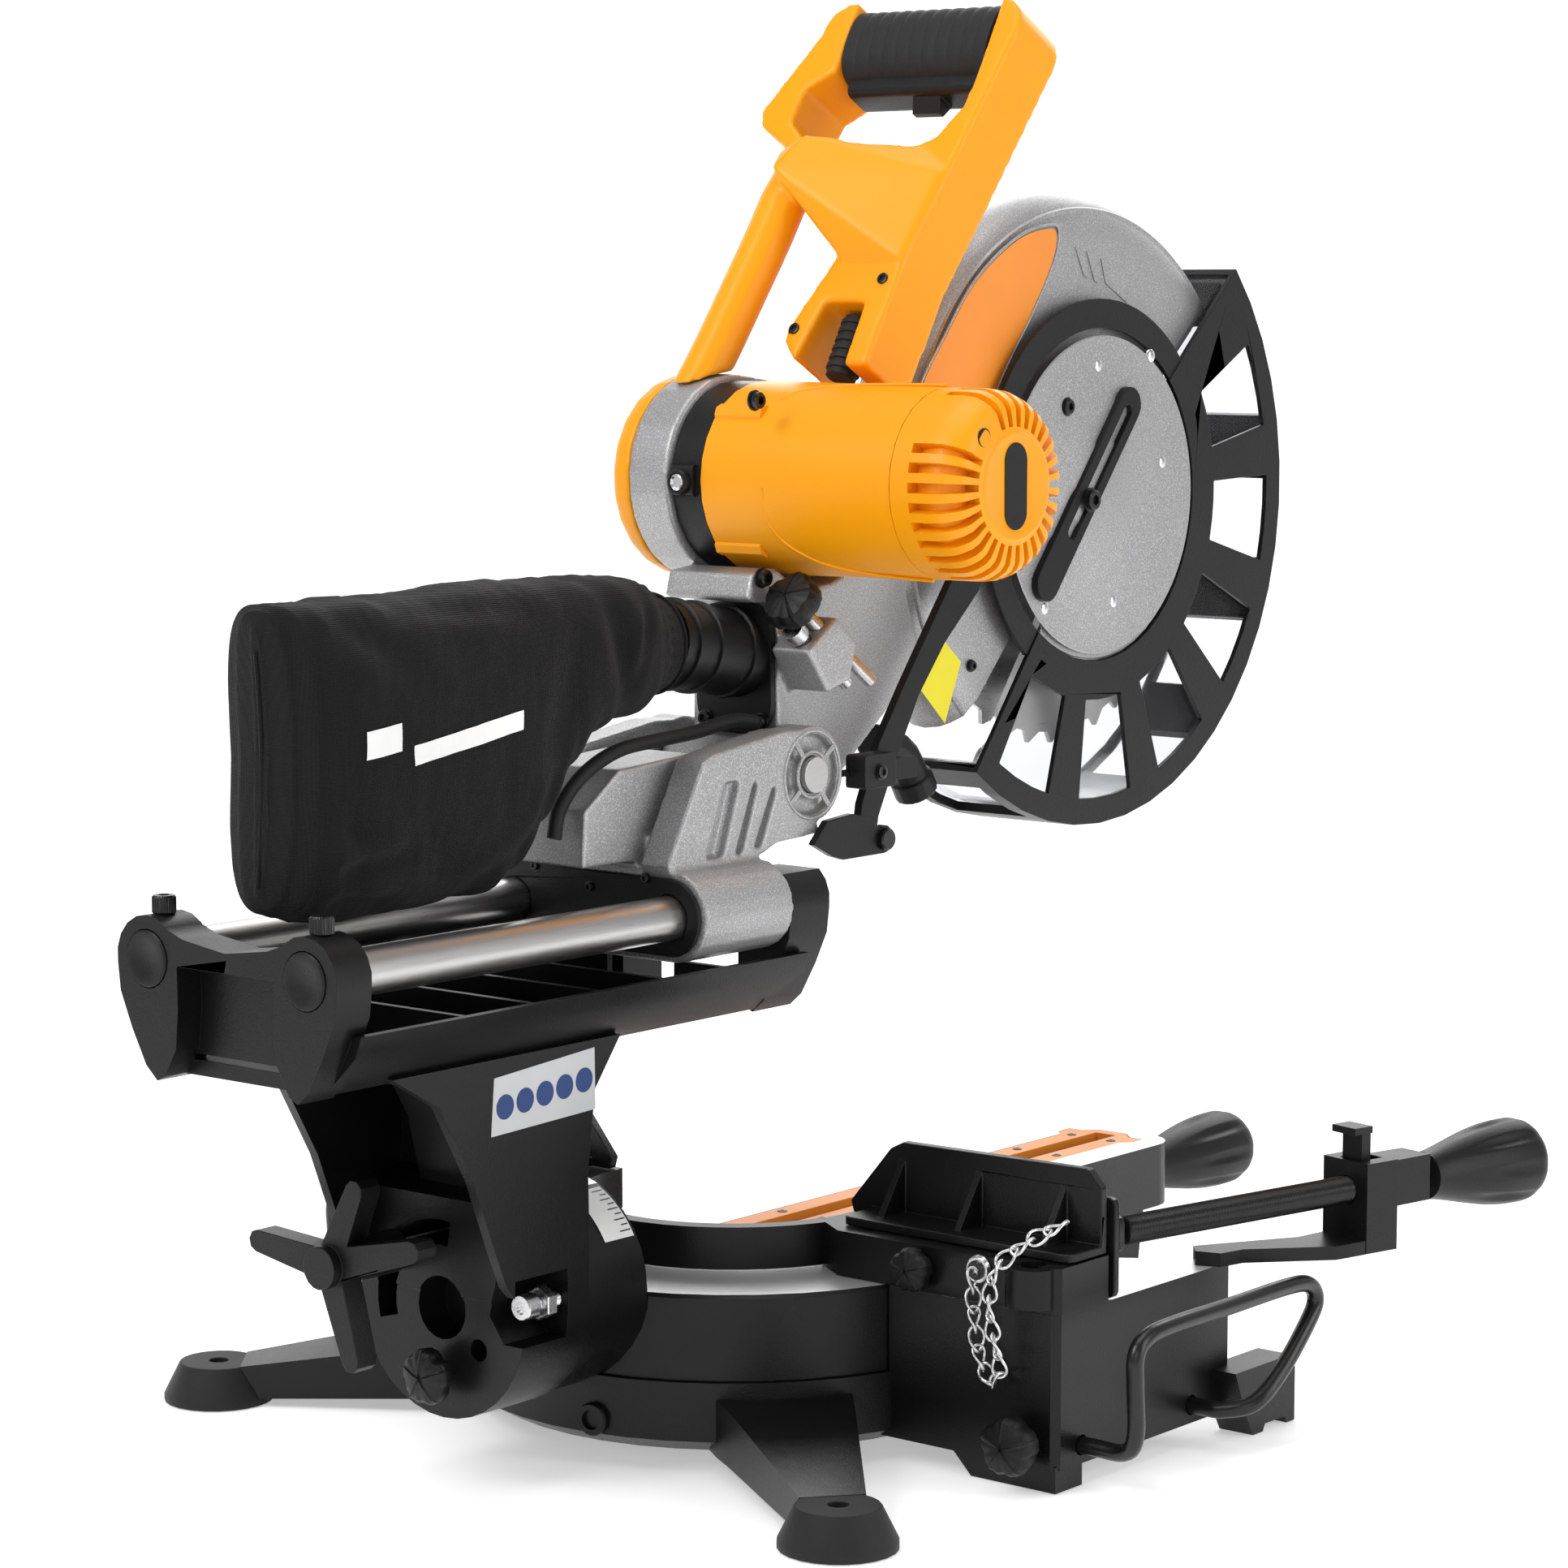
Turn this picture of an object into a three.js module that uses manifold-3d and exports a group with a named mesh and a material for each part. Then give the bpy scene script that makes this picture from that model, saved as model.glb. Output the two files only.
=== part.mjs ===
import * as THREE from 'three';
import Module from 'manifold-3d';

const wasm = await Module();
wasm.setup();

// Driving dimensions, in millimetres. X is across the saw (0 at the blade), Y runs
// to the rear (0 at the fence face) and Z is up from the bench.
const GAP = 0.3;
const BLADE_R = 152.5;
const BLADE = { y: -299, z: 502 };
const PIVOT = { y: 0, z: 360 };
const MOTOR = { y: -40, z: 520, r: 54 };
const TABLE_Z = 95;
const TABLE_R = 151;
const TUB_R = 154;
const TUB_TOP = 48;
const BEVEL_Z = 97;
const BEVEL_R = 57.5;
const RAIL = { x: 56, z: 294, r: 12, y0: 12.5, y1: 384 };
const FENCE = { inner: 87, outer: 257, z0: 95.3, z1: 120, depth: 45, top: 165 };
const FOOT = { x: 225, y: 188, r: 31, h: 22 };
const WING_X = 256;
const ARM_HALF = 45;
const ARM_FRONT = -380;
const GUARD_R = 183;
const LOWER_R = 200;
const SLOT_HALF = 7.5;
const LINK = { y: -57, z: 319 };
const HANDLE = { y: -110, z: 650, ty: -0.487, tz: 0.8734 };
const GRIP = { u0: -61.7, u1: 41.7 };

const COLOURS = {
  casting: [0x17181a, 0.45, 0.3],
  silver: [0xa9abad, 0.42, 0.6],
  yellow: [0xf5a800, 0.4, 0.0],
  steel: [0x9a9c9e, 0.25, 1.0],
  rubber: [0x232426, 0.8, 0.0],
  machined: [0xd8d9da, 0.35, 0.8],
  insert: [0xd98a2b, 0.5, 0.0],
  clear: [0xc8ccd0, 0.1, 0.0],
  fabric: [0x0f0f10, 0.9, 0.0],
};

function material(kind) {
  const [color, roughness, metalness] = COLOURS[kind];
  return new THREE.MeshStandardMaterial({ color, roughness, metalness });
}

// --- solids -----------------------------------------------------------------

function solid(geometry) {
  let g = geometry.index ? geometry.toNonIndexed() : geometry.clone();
  const pos = g.attributes.position.array;
  const keys = new Map();
  const verts = [];
  const tris = [];
  for (let i = 0; i < pos.length; i += 3) {
    const key = [0, 1, 2].map((k) => Math.round(pos[i + k] * 1e4)).join(',');
    if (!keys.has(key)) {
      keys.set(key, verts.length / 3);
      verts.push(pos[i], pos[i + 1], pos[i + 2]);
    }
    tris.push(keys.get(key));
  }
  const kept = [];
  for (let i = 0; i < tris.length; i += 3) {
    const [a, b, c] = tris.slice(i, i + 3);
    if (a !== b && b !== c && a !== c) {
      kept.push(a, b, c);
    }
  }
  const mesh = new wasm.Mesh({
    numProp: 3,
    vertProperties: new Float32Array(verts),
    triVerts: new Uint32Array(kept),
  });
  return new wasm.Manifold(mesh);
}

function geometryOf(manifold) {
  const mesh = manifold.simplify(0.04).getMesh();
  const g = new THREE.BufferGeometry();
  g.setAttribute('position', new THREE.BufferAttribute(new Float32Array(mesh.vertProperties), 3));
  g.setIndex(new THREE.BufferAttribute(new Uint32Array(mesh.triVerts), 1));
  return g;
}

function union(...parts) {
  return parts.flat().reduce((a, b) => a.add(b));
}

function cut(body, ...tools) {
  return tools.flat().reduce((a, b) => a.subtract(b), body);
}

function hullOf(points) {
  return wasm.Manifold.hull(points);
}

function placed(geometry, matrix) {
  const g = geometry.clone();
  g.applyMatrix4(matrix);
  return solid(g);
}

function basis(x, y, z, origin = [0, 0, 0]) {
  const m = new THREE.Matrix4().makeBasis(
    new THREE.Vector3(...x),
    new THREE.Vector3(...y),
    new THREE.Vector3(...z),
  );
  m.setPosition(...origin);
  return m;
}

function shapeOf(points, holes = []) {
  const shape = new THREE.Shape(points.map(([a, b]) => new THREE.Vector2(a, b)));
  for (const hole of holes) {
    shape.holes.push(new THREE.Path(hole.map(([a, b]) => new THREE.Vector2(a, b))));
  }
  return shape;
}

function extruded(points, depth, holes) {
  return new THREE.ExtrudeGeometry(shapeOf(points, holes), { depth, bevelEnabled: false });
}

// A plate whose outline is given as [y, z] points, between two X values.
function plateX(points, x0, x1, holes) {
  return placed(extruded(points, x1 - x0, holes), basis([0, 1, 0], [0, 0, 1], [1, 0, 0], [x0, 0, 0]));
}

// A plate whose outline is given as [x, z] points, between two Y values.
function plateY(points, y0, y1, holes = []) {
  const flip = (list) => list.map(([x, z]) => [z, x]);
  const g = extruded(flip(points), y1 - y0, holes.map(flip));
  return placed(g, basis([0, 0, 1], [1, 0, 0], [0, 1, 0], [0, y0, 0]));
}

// A plate whose outline is given as [x, y] points, between two Z values.
function plateZ(points, z0, z1, holes) {
  return placed(extruded(points, z1 - z0, holes), basis([1, 0, 0], [0, 1, 0], [0, 0, 1], [0, 0, z0]));
}

function box(x0, x1, y0, y1, z0, z1) {
  const g = new THREE.BoxGeometry(x1 - x0, y1 - y0, z1 - z0);
  g.translate((x0 + x1) / 2, (y0 + y1) / 2, (z0 + z1) / 2);
  return solid(g);
}

// A round bar between two points, with an optional second radius for a cone.
function bar(from, to, r0, r1 = r0, segments = 20) {
  const a = new THREE.Vector3(...from);
  const b = new THREE.Vector3(...to);
  const length = a.distanceTo(b);
  const g = new THREE.CylinderGeometry(r1, r0, length, segments);
  g.translate(0, length / 2, 0);
  const turn = new THREE.Quaternion().setFromUnitVectors(
    new THREE.Vector3(0, 1, 0),
    b.clone().sub(a).normalize(),
  );
  g.applyQuaternion(turn);
  g.translate(a.x, a.y, a.z);
  return solid(g);
}

// A turned part: [radius, distance] pairs along an axis from a point.
function turned(profile, from, direction, segments = 20) {
  const g = new THREE.LatheGeometry(profile.map(([r, d]) => new THREE.Vector2(r, d)), segments);
  const turn = new THREE.Quaternion().setFromUnitVectors(
    new THREE.Vector3(0, 1, 0),
    new THREE.Vector3(...direction).normalize(),
  );
  g.applyQuaternion(turn);
  g.translate(...from);
  return solid(g);
}

function tube(points, r, steps, sides = 12) {
  const path = new THREE.CatmullRomCurve3(points.map((p) => new THREE.Vector3(...p)), false, 'centripetal');
  const ring = [];
  for (let i = 0; i < sides; i += 1) {
    const t = (2 * Math.PI * i) / sides;
    ring.push([r * Math.cos(t), r * Math.sin(t)]);
  }
  return solid(new THREE.ExtrudeGeometry(shapeOf(ring), { steps, extrudePath: path, bevelEnabled: false }));
}

// --- outlines ---------------------------------------------------------------

function arc(cx, cy, r, from, to, steps) {
  const points = [];
  for (let i = 0; i <= steps; i += 1) {
    const t = ((from + ((to - from) * i) / steps) * Math.PI) / 180;
    points.push([cx + r * Math.cos(t), cy + r * Math.sin(t)]);
  }
  return points;
}

function ringSector(cx, cy, r0, r1, from, to, steps) {
  return [...arc(cx, cy, r1, from, to, steps), ...arc(cx, cy, r0, to, from, steps)];
}

function roundBox(x0, x1, y0, y1, r, steps = 4) {
  return [
    ...arc(x1 - r, y0 + r, r, -90, 0, steps),
    ...arc(x1 - r, y1 - r, r, 0, 90, steps),
    ...arc(x0 + r, y1 - r, r, 90, 180, steps),
    ...arc(x0 + r, y0 + r, r, 180, 270, steps),
  ];
}

// The outline of two circles joined by their outer tangents.
function stadium(ax, ay, ra, bx, by, rb, steps = 12) {
  const angle = Math.atan2(by - ay, bx - ax);
  const gap = Math.hypot(bx - ax, by - ay);
  const lean = Math.acos((ra - rb) / gap);
  const deg = 180 / Math.PI;
  return [
    ...arc(bx, by, rb, (angle - lean) * deg, (angle + lean) * deg, steps),
    ...arc(ax, ay, ra, (angle + lean) * deg, (angle - lean + 2 * Math.PI) * deg, steps),
  ];
}

function mirrorX(manifold) {
  return manifold.mirror([1, 0, 0]);
}

// --- shared shapes ----------------------------------------------------------

// A five-lobed hand knob on a stem, standing out from a face along a direction.
function knob(at, direction, r, length, stem) {
  const axis = new THREE.Vector3(...direction).normalize();
  const on = (d) => [at[0] + axis.x * d, at[1] + axis.y * d, at[2] + axis.z * d];
  const outline = [];
  for (let i = 0; i < 15; i += 1) {
    const t = (2 * Math.PI * i) / 15;
    const radius = r * (0.93 + 0.07 * Math.cos(5 * t));
    outline.push([radius * Math.cos(t), radius * Math.sin(t)]);
  }
  const side = Math.abs(axis.z) > 0.9 ? new THREE.Vector3(1, 0, 0) : new THREE.Vector3(0, 0, 1);
  const u = new THREE.Vector3().crossVectors(side, axis).normalize();
  const v = new THREE.Vector3().crossVectors(axis, u);
  const frame = basis(u.toArray(), v.toArray(), axis.toArray(), on(stem));
  const g = new THREE.ExtrudeGeometry(shapeOf(outline), {
    depth: length - 4,
    bevelEnabled: true,
    bevelThickness: 2,
    bevelSize: 2,
    bevelOffset: -2,
    bevelSegments: 1,
  });
  g.translate(0, 0, 2);
  return union(placed(g, frame), bar(on(0), on(stem + 3), 4, 4, 12));
}

// --- base -------------------------------------------------------------------

function rearLeg() {
  const dx = FOOT.x;
  const dy = FOOT.y;
  const length = Math.hypot(dx, dy);
  const along = [-dx / length, dy / length, 0];
  const across = [dy / length, dx / length, 0];
  const plan = extruded([[110, -40], [150, -37], [length - 12, -17], [length + 6, -15],
    [length + 6, 15], [length - 12, 17], [150, 37], [110, 40]], 60);
  const planBody = placed(plan, basis(along, across, [0, 0, -1], [0, 0, 62]));
  const side = extruded([[100, 8], [170, 8], [length - 30, 4.5], [length + 10, 5], [length + 10, 21.5],
    [length - 12, 22], [180, 37], [158, 38.8], [100, 38.8]], 100);
  const sideBody = placed(side, basis(along, [0, 0, 1], across, [-across[0] * 50, -across[1] * 50, 0]));
  return planBody.intersect(sideBody);
}

function wing() {
  const plan = [[-100, FENCE.depth], [-WING_X + 4, FENCE.depth], [-WING_X, FENCE.depth - 4],
    [-WING_X, -116], [-WING_X + 4, -120], [-150, -50], [-100, -50]];
  const body = plateZ(plan, 12, TABLE_Z);
  const foot = plateY([[-WING_X + 1, 0], [-200, 0], [-186, 14], [-WING_X + 1, 14]], 20, FENCE.depth - 1);
  const block = plateX([[-110, 14], [-118, 0], [-128, 0], [-130, 4], [-150, 4], [-152, 0], [-160, 0], [-160, 30],
    [-156, 38], [-100, 38]], -WING_X - 16, -WING_X + 6);
  return union(body, foot, block);
}

function baseCasting() {
  const tub = turned([[0, 8], [TUB_R - 14, 8], [TUB_R, 16], [TUB_R, TUB_TOP], [0, TUB_TOP]], [0, 0, 0], [0, 0, 1], 40);
  const legs = [rearLeg(), mirrorX(rearLeg())];
  const wings = [wing(), mirrorX(wing())];
  const well = turned([[0, TUB_TOP], [TABLE_R + 1.5, TUB_TOP], [TABLE_R + 1.5, 120], [0, 120]], [0, 0, 0], [0, 0, 1], 40);
  const cuts = [];
  for (const s of [-1, 1]) {
    for (const [y, z] of [[22, 22], [-81, 22]]) {
      cuts.push(bar([s * 165, y, z], [s * 300, y, z], 5.7, 5.7, 10));
    }
    const foot = turned([[0, -5], [FOOT.r + 0.4, -5], [FOOT.r + 0.4, 4.3], [22.3, FOOT.h + 0.3], [0, FOOT.h + 0.3]],
      [s * FOOT.x, FOOT.y, 0], [0, 0, 1], 24);
    cuts.push(foot);
    cuts.push(bar([s * 237, 60, 26], [s * 237, 27.5, 26], 4.3, 4.3, 12));
  }
  return cut(union(tub, legs, wings), well, cuts);
}

function rearFoot(side) {
  const cone = turned([[0, 0], [FOOT.r, 0], [FOOT.r, 4], [22, FOOT.h], [0, FOOT.h]],
    [side * FOOT.x, FOOT.y, 0], [0, 0, 1], 24);
  return cut(cone, bar([side * FOOT.x, FOOT.y, 10], [side * FOOT.x, FOOT.y, 30], 5.5, 5.5, 12));
}

function fenceCasting() {
  const half = plateZ([[-FENCE.inner, 0], [-FENCE.inner, 30], [-110, FENCE.depth],
    [-FENCE.outer + 3, FENCE.depth], [-FENCE.outer, FENCE.depth - 3], [-FENCE.outer, 0]], FENCE.z0, FENCE.z1);
  const bridge = plateZ(ringSector(0, 0, 88, 98, -2, 182, 22), 96.5, FENCE.z1);
  const socket = (s) => bar([s * 238, FENCE.depth - 4, 98], [s * 238, FENCE.depth - 4, FENCE.z1 - 1], 15, 15, 20);
  const holes = [];
  for (const s of [-1, 1]) {
    holes.push(bar([s * 238, FENCE.depth - 4, 104], [s * 238, FENCE.depth - 4, 130], 7, 7, 16));
    holes.push(bar([s * 166, 60, 108], [s * 166, 25, 108], 4.3, 4.3, 12));
    holes.push(box(s < 0 ? -300 : 90, s < 0 ? -90 : 300, -1, 8.4, FENCE.z1 - 0.01, 140));
  }
  return cut(union(half, mirrorX(half), bridge, socket(-1), socket(1)), holes);
}

function slidingFence() {
  const plate = plateY([[-90, 120.4], [-FENCE.outer + 1, 120.4], [-FENCE.outer + 1, 156],
    [-FENCE.outer + 10, 165.5], [-124, 164], [-116, 160], [-88, 127]], 0.2, 6);
  const flange = plateZ(roundBox(-FENCE.outer + 1, -104, 1, 34, 5, 2), 120.4, 125.5);
  const ribs = [-124, -176, -232].map((x) => plateX([[5, 125], [26, 125], [5, 156]], x - 2, x + 2));
  return union(plate, flange, ribs);
}

function bail() {
  const r = 4.7;
  const tall = 87;
  const out = -294;
  const points = [[-170, 22, 22], [-215, 22, 22], [-262, 22, 22], [-284, 23, 23], [out, 27, 34], [out, 28, 60],
    [out, 28, 76], [out, 20, tall - 3], [out, 0, tall], [out, -60, tall], [out, -118, tall], [out, -138, tall - 3],
    [out, -145, 75], [out, -138, 64], [out, -112, 42], [out + 4, -92, 27], [-276, -83, 22.4], [-262, -81, 22],
    [-215, -81, 22], [-170, -81, 22]];
  return tube(points, r, 38, 7);
}

// --- turntable --------------------------------------------------------------

function turntable() {
  const disc = turned([[0, TUB_TOP + 0.4], [TABLE_R, TUB_TOP + 0.4], [TABLE_R, TABLE_Z - 2],
    [TABLE_R - 2, TABLE_Z], [0, TABLE_Z]], [0, 0, 0], [0, 0, 1], 40);
  const armPlan = [[-ARM_HALF - 14, -100], [-ARM_HALF, -200], ...arc(-ARM_HALF + 22, ARM_FRONT + 22, 22, 180, 270, 5),
    ...arc(ARM_HALF - 22, ARM_FRONT + 22, 22, 270, 360, 5), [ARM_HALF, -200], [ARM_HALF + 14, -100]];
  const arm = plateZ(armPlan, 56, TABLE_Z);
  const leg = plateX([[-160, 57], [-170, 40], [-300, 20], [-352, 20], [-358, 57]], -34, 34);
  const drum = cut(
    bar([0, 141, BEVEL_Z], [0, 188, BEVEL_Z], BEVEL_R, BEVEL_R, 32),
    box(-70, 70, 110, 157, 20, TUB_TOP + 0.4),
  );
  const neck = plateZ([[-56, 90], [56, 90], [52, 140], [-52, 140]], TUB_TOP + 4, TABLE_Z);
  const recess = plateZ(insertOutline(0.3), 88, 100);
  const trough = box(-17, 17, -366, -4, 62, 99);
  const stud = bar([30, 180, 124], [30, 242, 124], 5, 5, 16);
  const body = cut(union(disc, arm, leg, drum, neck), recess, trough);
  return union(body, stud);
}

function insertOutline(grow) {
  const w = 22 + grow;
  return [[-w, -10 + grow], [-w, -346], [-w - 6, -352], [-w - 6, -364 - grow], [-w + 4, -364 - grow],
    [-w + 12, -372 - grow], [w - 12, -372 - grow], [w - 4, -364 - grow], [w + 6, -364 - grow], [w + 6, -352],
    [w, -346], [w, -10 + grow]];
}

function kerfInsert() {
  const plate = plateZ(insertOutline(0), 88.3, TABLE_Z);
  return cut(plate, box(-SLOT_HALF, SLOT_HALF, -364, -20, 80, 100));
}

function mitreGrip() {
  const stem = bar([0, ARM_FRONT - GAP, 66], [0, -410, 66], 9, 9, 20);
  const grip = turned([[0, 0], [17, 0], [22, 12], [24, 38], [24, 70], [21, 92], [13, 104], [0, 107]],
    [0, -406, 66], [0, -1, 0], 24);
  return union(stem, grip);
}

// --- bevel column and rails ---------------------------------------------------

function lobeOutline(side, r) {
  const pts = arc(RAIL.x, RAIL.z, r, -10, 190, 10);
  const lower = [[34, 270], [36, 250], [44, 236], [50, 233], [58, 240], [68, 258], [76, 276]];
  return [...pts, ...lower].map(([x, z]) => [side * x, z]);
}

function endFrame(y0, y1, middle) {
  const lobes = [lobeOutline(-1, 22), lobeOutline(1, 22)].map((o) => plateY(o, y0, y1));
  const saddle = plateY(middle, y0, y1);
  return union(lobes, saddle);
}

function bevelColumn() {
  const saddleTop = [[-44, 311], [-30, 306], [0, 302], [30, 306], [44, 311], [44, 292], [-44, 292]];
  const rear = endFrame(364, 388, saddleTop);
  const rearWeb = box(-50, 50, 366, 372, 246, 300);
  const front = cut(
    endFrame(12, 45, [[-56, 310], [56, 310], [58, 244], [-58, 244]]),
    box(-90, 90, 0, 50, 310.5, 330),
  );
  const bladeRoom = union(box(-40, 44, 0, 78, 225, 330), box(-36, 12, 70, 128, 225, 330));
  const floor = plateY([[-78, 267], [-73, 267], [-48, 243], [48, 243], [73, 267], [78, 267], [74, 256],
    [52, 235], [-52, 235], [-74, 256]], 30, 372);
  const ribs = [90, 140, 190, 240, 290].map((y) => plateY([[-70, 266], [70, 266], [50, 240], [-50, 240]], y, y + 4));
  const clearSleeve = box(-90, 90, 45.01, 363.99, 267.5, 330);
  const profile = [[163, 238], [183, 212], [189, 170], [188.5, 150], [188.5, 30], [238, 30], [238, 104], [251, 118],
    [260, 139], [275, 177], [299, 219], [332, 238]];
  const leg = plateX(profile, -62, 62).intersect(
    plateY([[-59, 240], ...arc(0, BEVEL_Z, 59, 180, 360, 18), [59, 240]], 150, 340),
  );
  const pocket = plateX([[203, 234], [212, 190], [214, 164], [239, 156], [239, 96], [300, 96],
    [360, 234]], -53, 53);
  const web = plateX([[196, 238], [205, 200], [210, 158], [226, 158], [236, 196], [262, 238]], -26, 26);
  const centre = bar([0, 218, BEVEL_Z], [0, 245, BEVEL_Z], 17, 17, 20);
  const slot = plateY(ringSector(0, BEVEL_Z, 33.5, 47, -15, 99, 11), 180, 245);
  const small = bar([-26, 224, 78], [-26, 245, 78], 6, 6, 12);
  const notch = plateY([[-70, 122], [-40, 118], [-34, 98], [-44, 84], [-70, 84]], 205, 245);
  const knobHole = bar([-2, 215, 63], [-2, 245, 63], 4.3, 4.3, 12);
  const stopHole = bar([-50, 195, 103], [-50, 215, 103], 4.3, 4.3, 12);
  const rails = [-1, 1].map((s) => bar([s * RAIL.x, 0, RAIL.z], [s * RAIL.x, 400, RAIL.z], RAIL.r + 0.5, RAIL.r + 0.5, 18));
  const plugs = [-1, 1].map((s) => bar([s * RAIL.x, 384, RAIL.z], [s * RAIL.x, 392, RAIL.z], 15, 15, 20));
  const screws = [-1, 1].map((s) => bar([s * RAIL.x, 376, 300], [s * RAIL.x, 376, 340], 4.3, 4.3, 12));
  const shell = cut(union(rear, rearWeb, front, floor, ribs), bladeRoom);
  const top = cut(shell, clearSleeve);
  const lower = union(cut(leg, pocket), web.intersect(leg));
  return cut(union(top, lower), centre, slot, small, notch, knobHole, stopHole, rails, plugs, screws);
}

function rail(side) {
  return bar([side * RAIL.x, RAIL.y0, RAIL.z], [side * RAIL.x, RAIL.y1 - GAP, RAIL.z], RAIL.r, RAIL.r, 20);
}

function railPlug(side) {
  return bar([side * RAIL.x, RAIL.y1, RAIL.z], [side * RAIL.x, 389.5, RAIL.z], 14.6, 14.2, 20);
}

function setScrew(side) {
  const at = (z) => [side * RAIL.x, 376, z];
  return union(bar(at(306.6), at(317), 4, 4, 12), bar(at(316.5), at(325), 6, 6, 12));
}

function stopBolt() {
  return union(
    bar([-50, 196, 103], [-50, 222, 103], 4, 4, 12),
    bar([-50, 216, 103], [-50, 222, 103], 8, 8, 6),
    bar([-50, 221.5, 103], [-50, 232, 103], 6.5, 6.5, 16),
  );
}

function bevelLever() {
  const at = [30, 124];
  const hub = bar([30, 242.3, 124], [30, 298, 124], 11.5, 11.5, 16);
  const tips = [[82, 130], [10, 166], [-30, 140], [14, 76]];
  const arms = tips.map(([x, z]) => plateY(stadium(at[0], at[1], 9, x, z, 6, 4), 278, 292));
  return union(hub, arms);
}

// --- carriage -----------------------------------------------------------------

function sleeveOutline(r) {
  return [...arc(RAIL.x, RAIL.z, r, -90, 90, 10), ...arc(-RAIL.x, RAIL.z, r, 90, 270, 10)];
}

function carriage() {
  const sleeve = plateY(sleeveOutline(24.5), 46, 118);
  const lighten = plateY(roundBox(-32, 32, 279, 309, 8, 3), 60, 118.5);
  const cheekOutline = [[117, 312], [121, 322], [92, 374], [82, 378], [24, 386],
    ...arc(PIVOT.y, PIVOT.z, 27, 70, 262, 10), [-8, 327], [30, 325], [46.5, 319], [46.5, 312]];
  const tower = plateX([[160, 322], [158, 352], [130, 372], [70, 376], [60, 340], [52, 312], [117, 312], [117, 322]], -30, 30);
  const bores = [-1, 1].map((s) => bar([s * RAIL.x, 0, RAIL.z], [s * RAIL.x, 200, RAIL.z], RAIL.r + 0.5, RAIL.r + 0.5, 18));
  const cheeks = [-1, 1].map((s) => {
    const plate = plateX(cheekOutline, s < 0 ? -56 : 36, s < 0 ? -36 : 56);
    const pockets = [[62, 374, 86, 322], [46, 372, 62, 322], [30, 368, 46, 324]].map(([a, za, b, zb]) =>
      plateX([[b + 4, zb], [a + 14, zb], [a, za - 12], [b - 12, za - 12]], s < 0 ? -60 : 50, s < 0 ? -50 : 60));
    const rim = cut(
      bar([s * 50, PIVOT.y, PIVOT.z], [s * 60, PIVOT.y, PIVOT.z], 22.5, 22.5, 20),
      bar([s * 48, PIVOT.y, PIVOT.z], [s * 62, PIVOT.y, PIVOT.z], 12.5, 12.5, 20),
    );
    return cut(plate, pockets, rim);
  });
  const joinBlock = box(-50, 50, 52, 110, 312, 334);
  const shaft = bar([-70, PIVOT.y, PIVOT.z], [70, PIVOT.y, PIVOT.z], 10.4, 10.4, 18);
  const armRoom = bar([-35.5, PIVOT.y, PIVOT.z], [35.5, PIVOT.y, PIVOT.z], 50, 50, 24);
  const core = cut(union(tower, joinBlock), armRoom);
  const tongue = cut(union(sleeve, core), lighten);
  return cut(union(tongue, cheeks), bores, shaft);
}

function sealPlate() {
  const plate = plateY(sleeveOutline(21), 118.3, 121);
  const holes = [-1, 1].map((s) => bar([s * RAIL.x, 110, RAIL.z], [s * RAIL.x, 130, RAIL.z], RAIL.r + 0.6, RAIL.r + 0.6, 18));
  return cut(plate, holes);
}

function linkBracket() {
  const outline = [[-6, 334], [-28, 336], [-42, 333], ...arc(LINK.y, LINK.z, 8, 60, 270, 8), [-20, 311], [-10, 314],
    [6, 322]];
  const plate = plateX(outline, -62, -57.5);
  return union(plate, bar([-57.6, LINK.y, LINK.z], [-43, LINK.y, LINK.z], 4.5, 4.5, 12));
}

function pivotShaft() {
  return bar([-59, PIVOT.y, PIVOT.z], [59, PIVOT.y, PIVOT.z], 10, 10, 24);
}

function lockBlock() {
  return union(
    plateX(roundBox(-62, -34, 349, 368, 2, 2), -66, -52),
    plateX(roundBox(-84, -60, 352, 364, 1.5, 2), -64, -58),
    bar([-54.5, -35, 358], [-54.5, -27.5, 358], 2, 2, 8),
  );
}

// --- head ---------------------------------------------------------------------

function armCasting() {
  const hub = bar([-34, PIVOT.y, PIVOT.z], [34, PIVOT.y, PIVOT.z], 25, 25, 24);
  const web = plateX([[24, 362], [14, 384], [-2, 392], [-4, 448], [20, 456], [16, 470], [-40, 476], [-116, 480],
    [-150, 478], [-150, 440], [-112, 392], [-60, 352], [-22, 344]], -27, 34.5);
  const motorRoom = bar([-200, MOTOR.y, MOTOR.z], [34, MOTOR.y, MOTOR.z], MOTOR.r + 6, MOTOR.r + 6, 28);
  const guardRoom = bar([-40, BLADE.y, BLADE.z], [33.5, BLADE.y, BLADE.z], GUARD_R + 1, GUARD_R + 1, 44);
  const gearCase = plateX(stadium(MOTOR.y, MOTOR.z, 58, BLADE.y, BLADE.z, 42, 14), 34, 63);
  const ear = plateX([[4, 428], [-14, 404], [-34, 410], [-40, 430], [-22, 446]], -56, -26);
  const earBolt = bar([-46, 16, 462.5], [-46, -80, 395.3], 4.4, 4.4, 12);
  const stopHole = bar([-46, 4, 438.6], [-46, -52, 399.4], 4.4, 4.4, 12);
  const shaft = bar([-70, PIVOT.y, PIVOT.z], [70, PIVOT.y, PIVOT.z], 10.4, 10.4, 18);
  const body = cut(union(hub, web), motorRoom, guardRoom);
  const chuteRoom = box(-29, 36, -4.5, 60, 379.5, 454);
  return cut(union(cut(union(body, ear), chuteRoom), gearCase), shaft, earBolt, stopHole);
}

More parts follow.
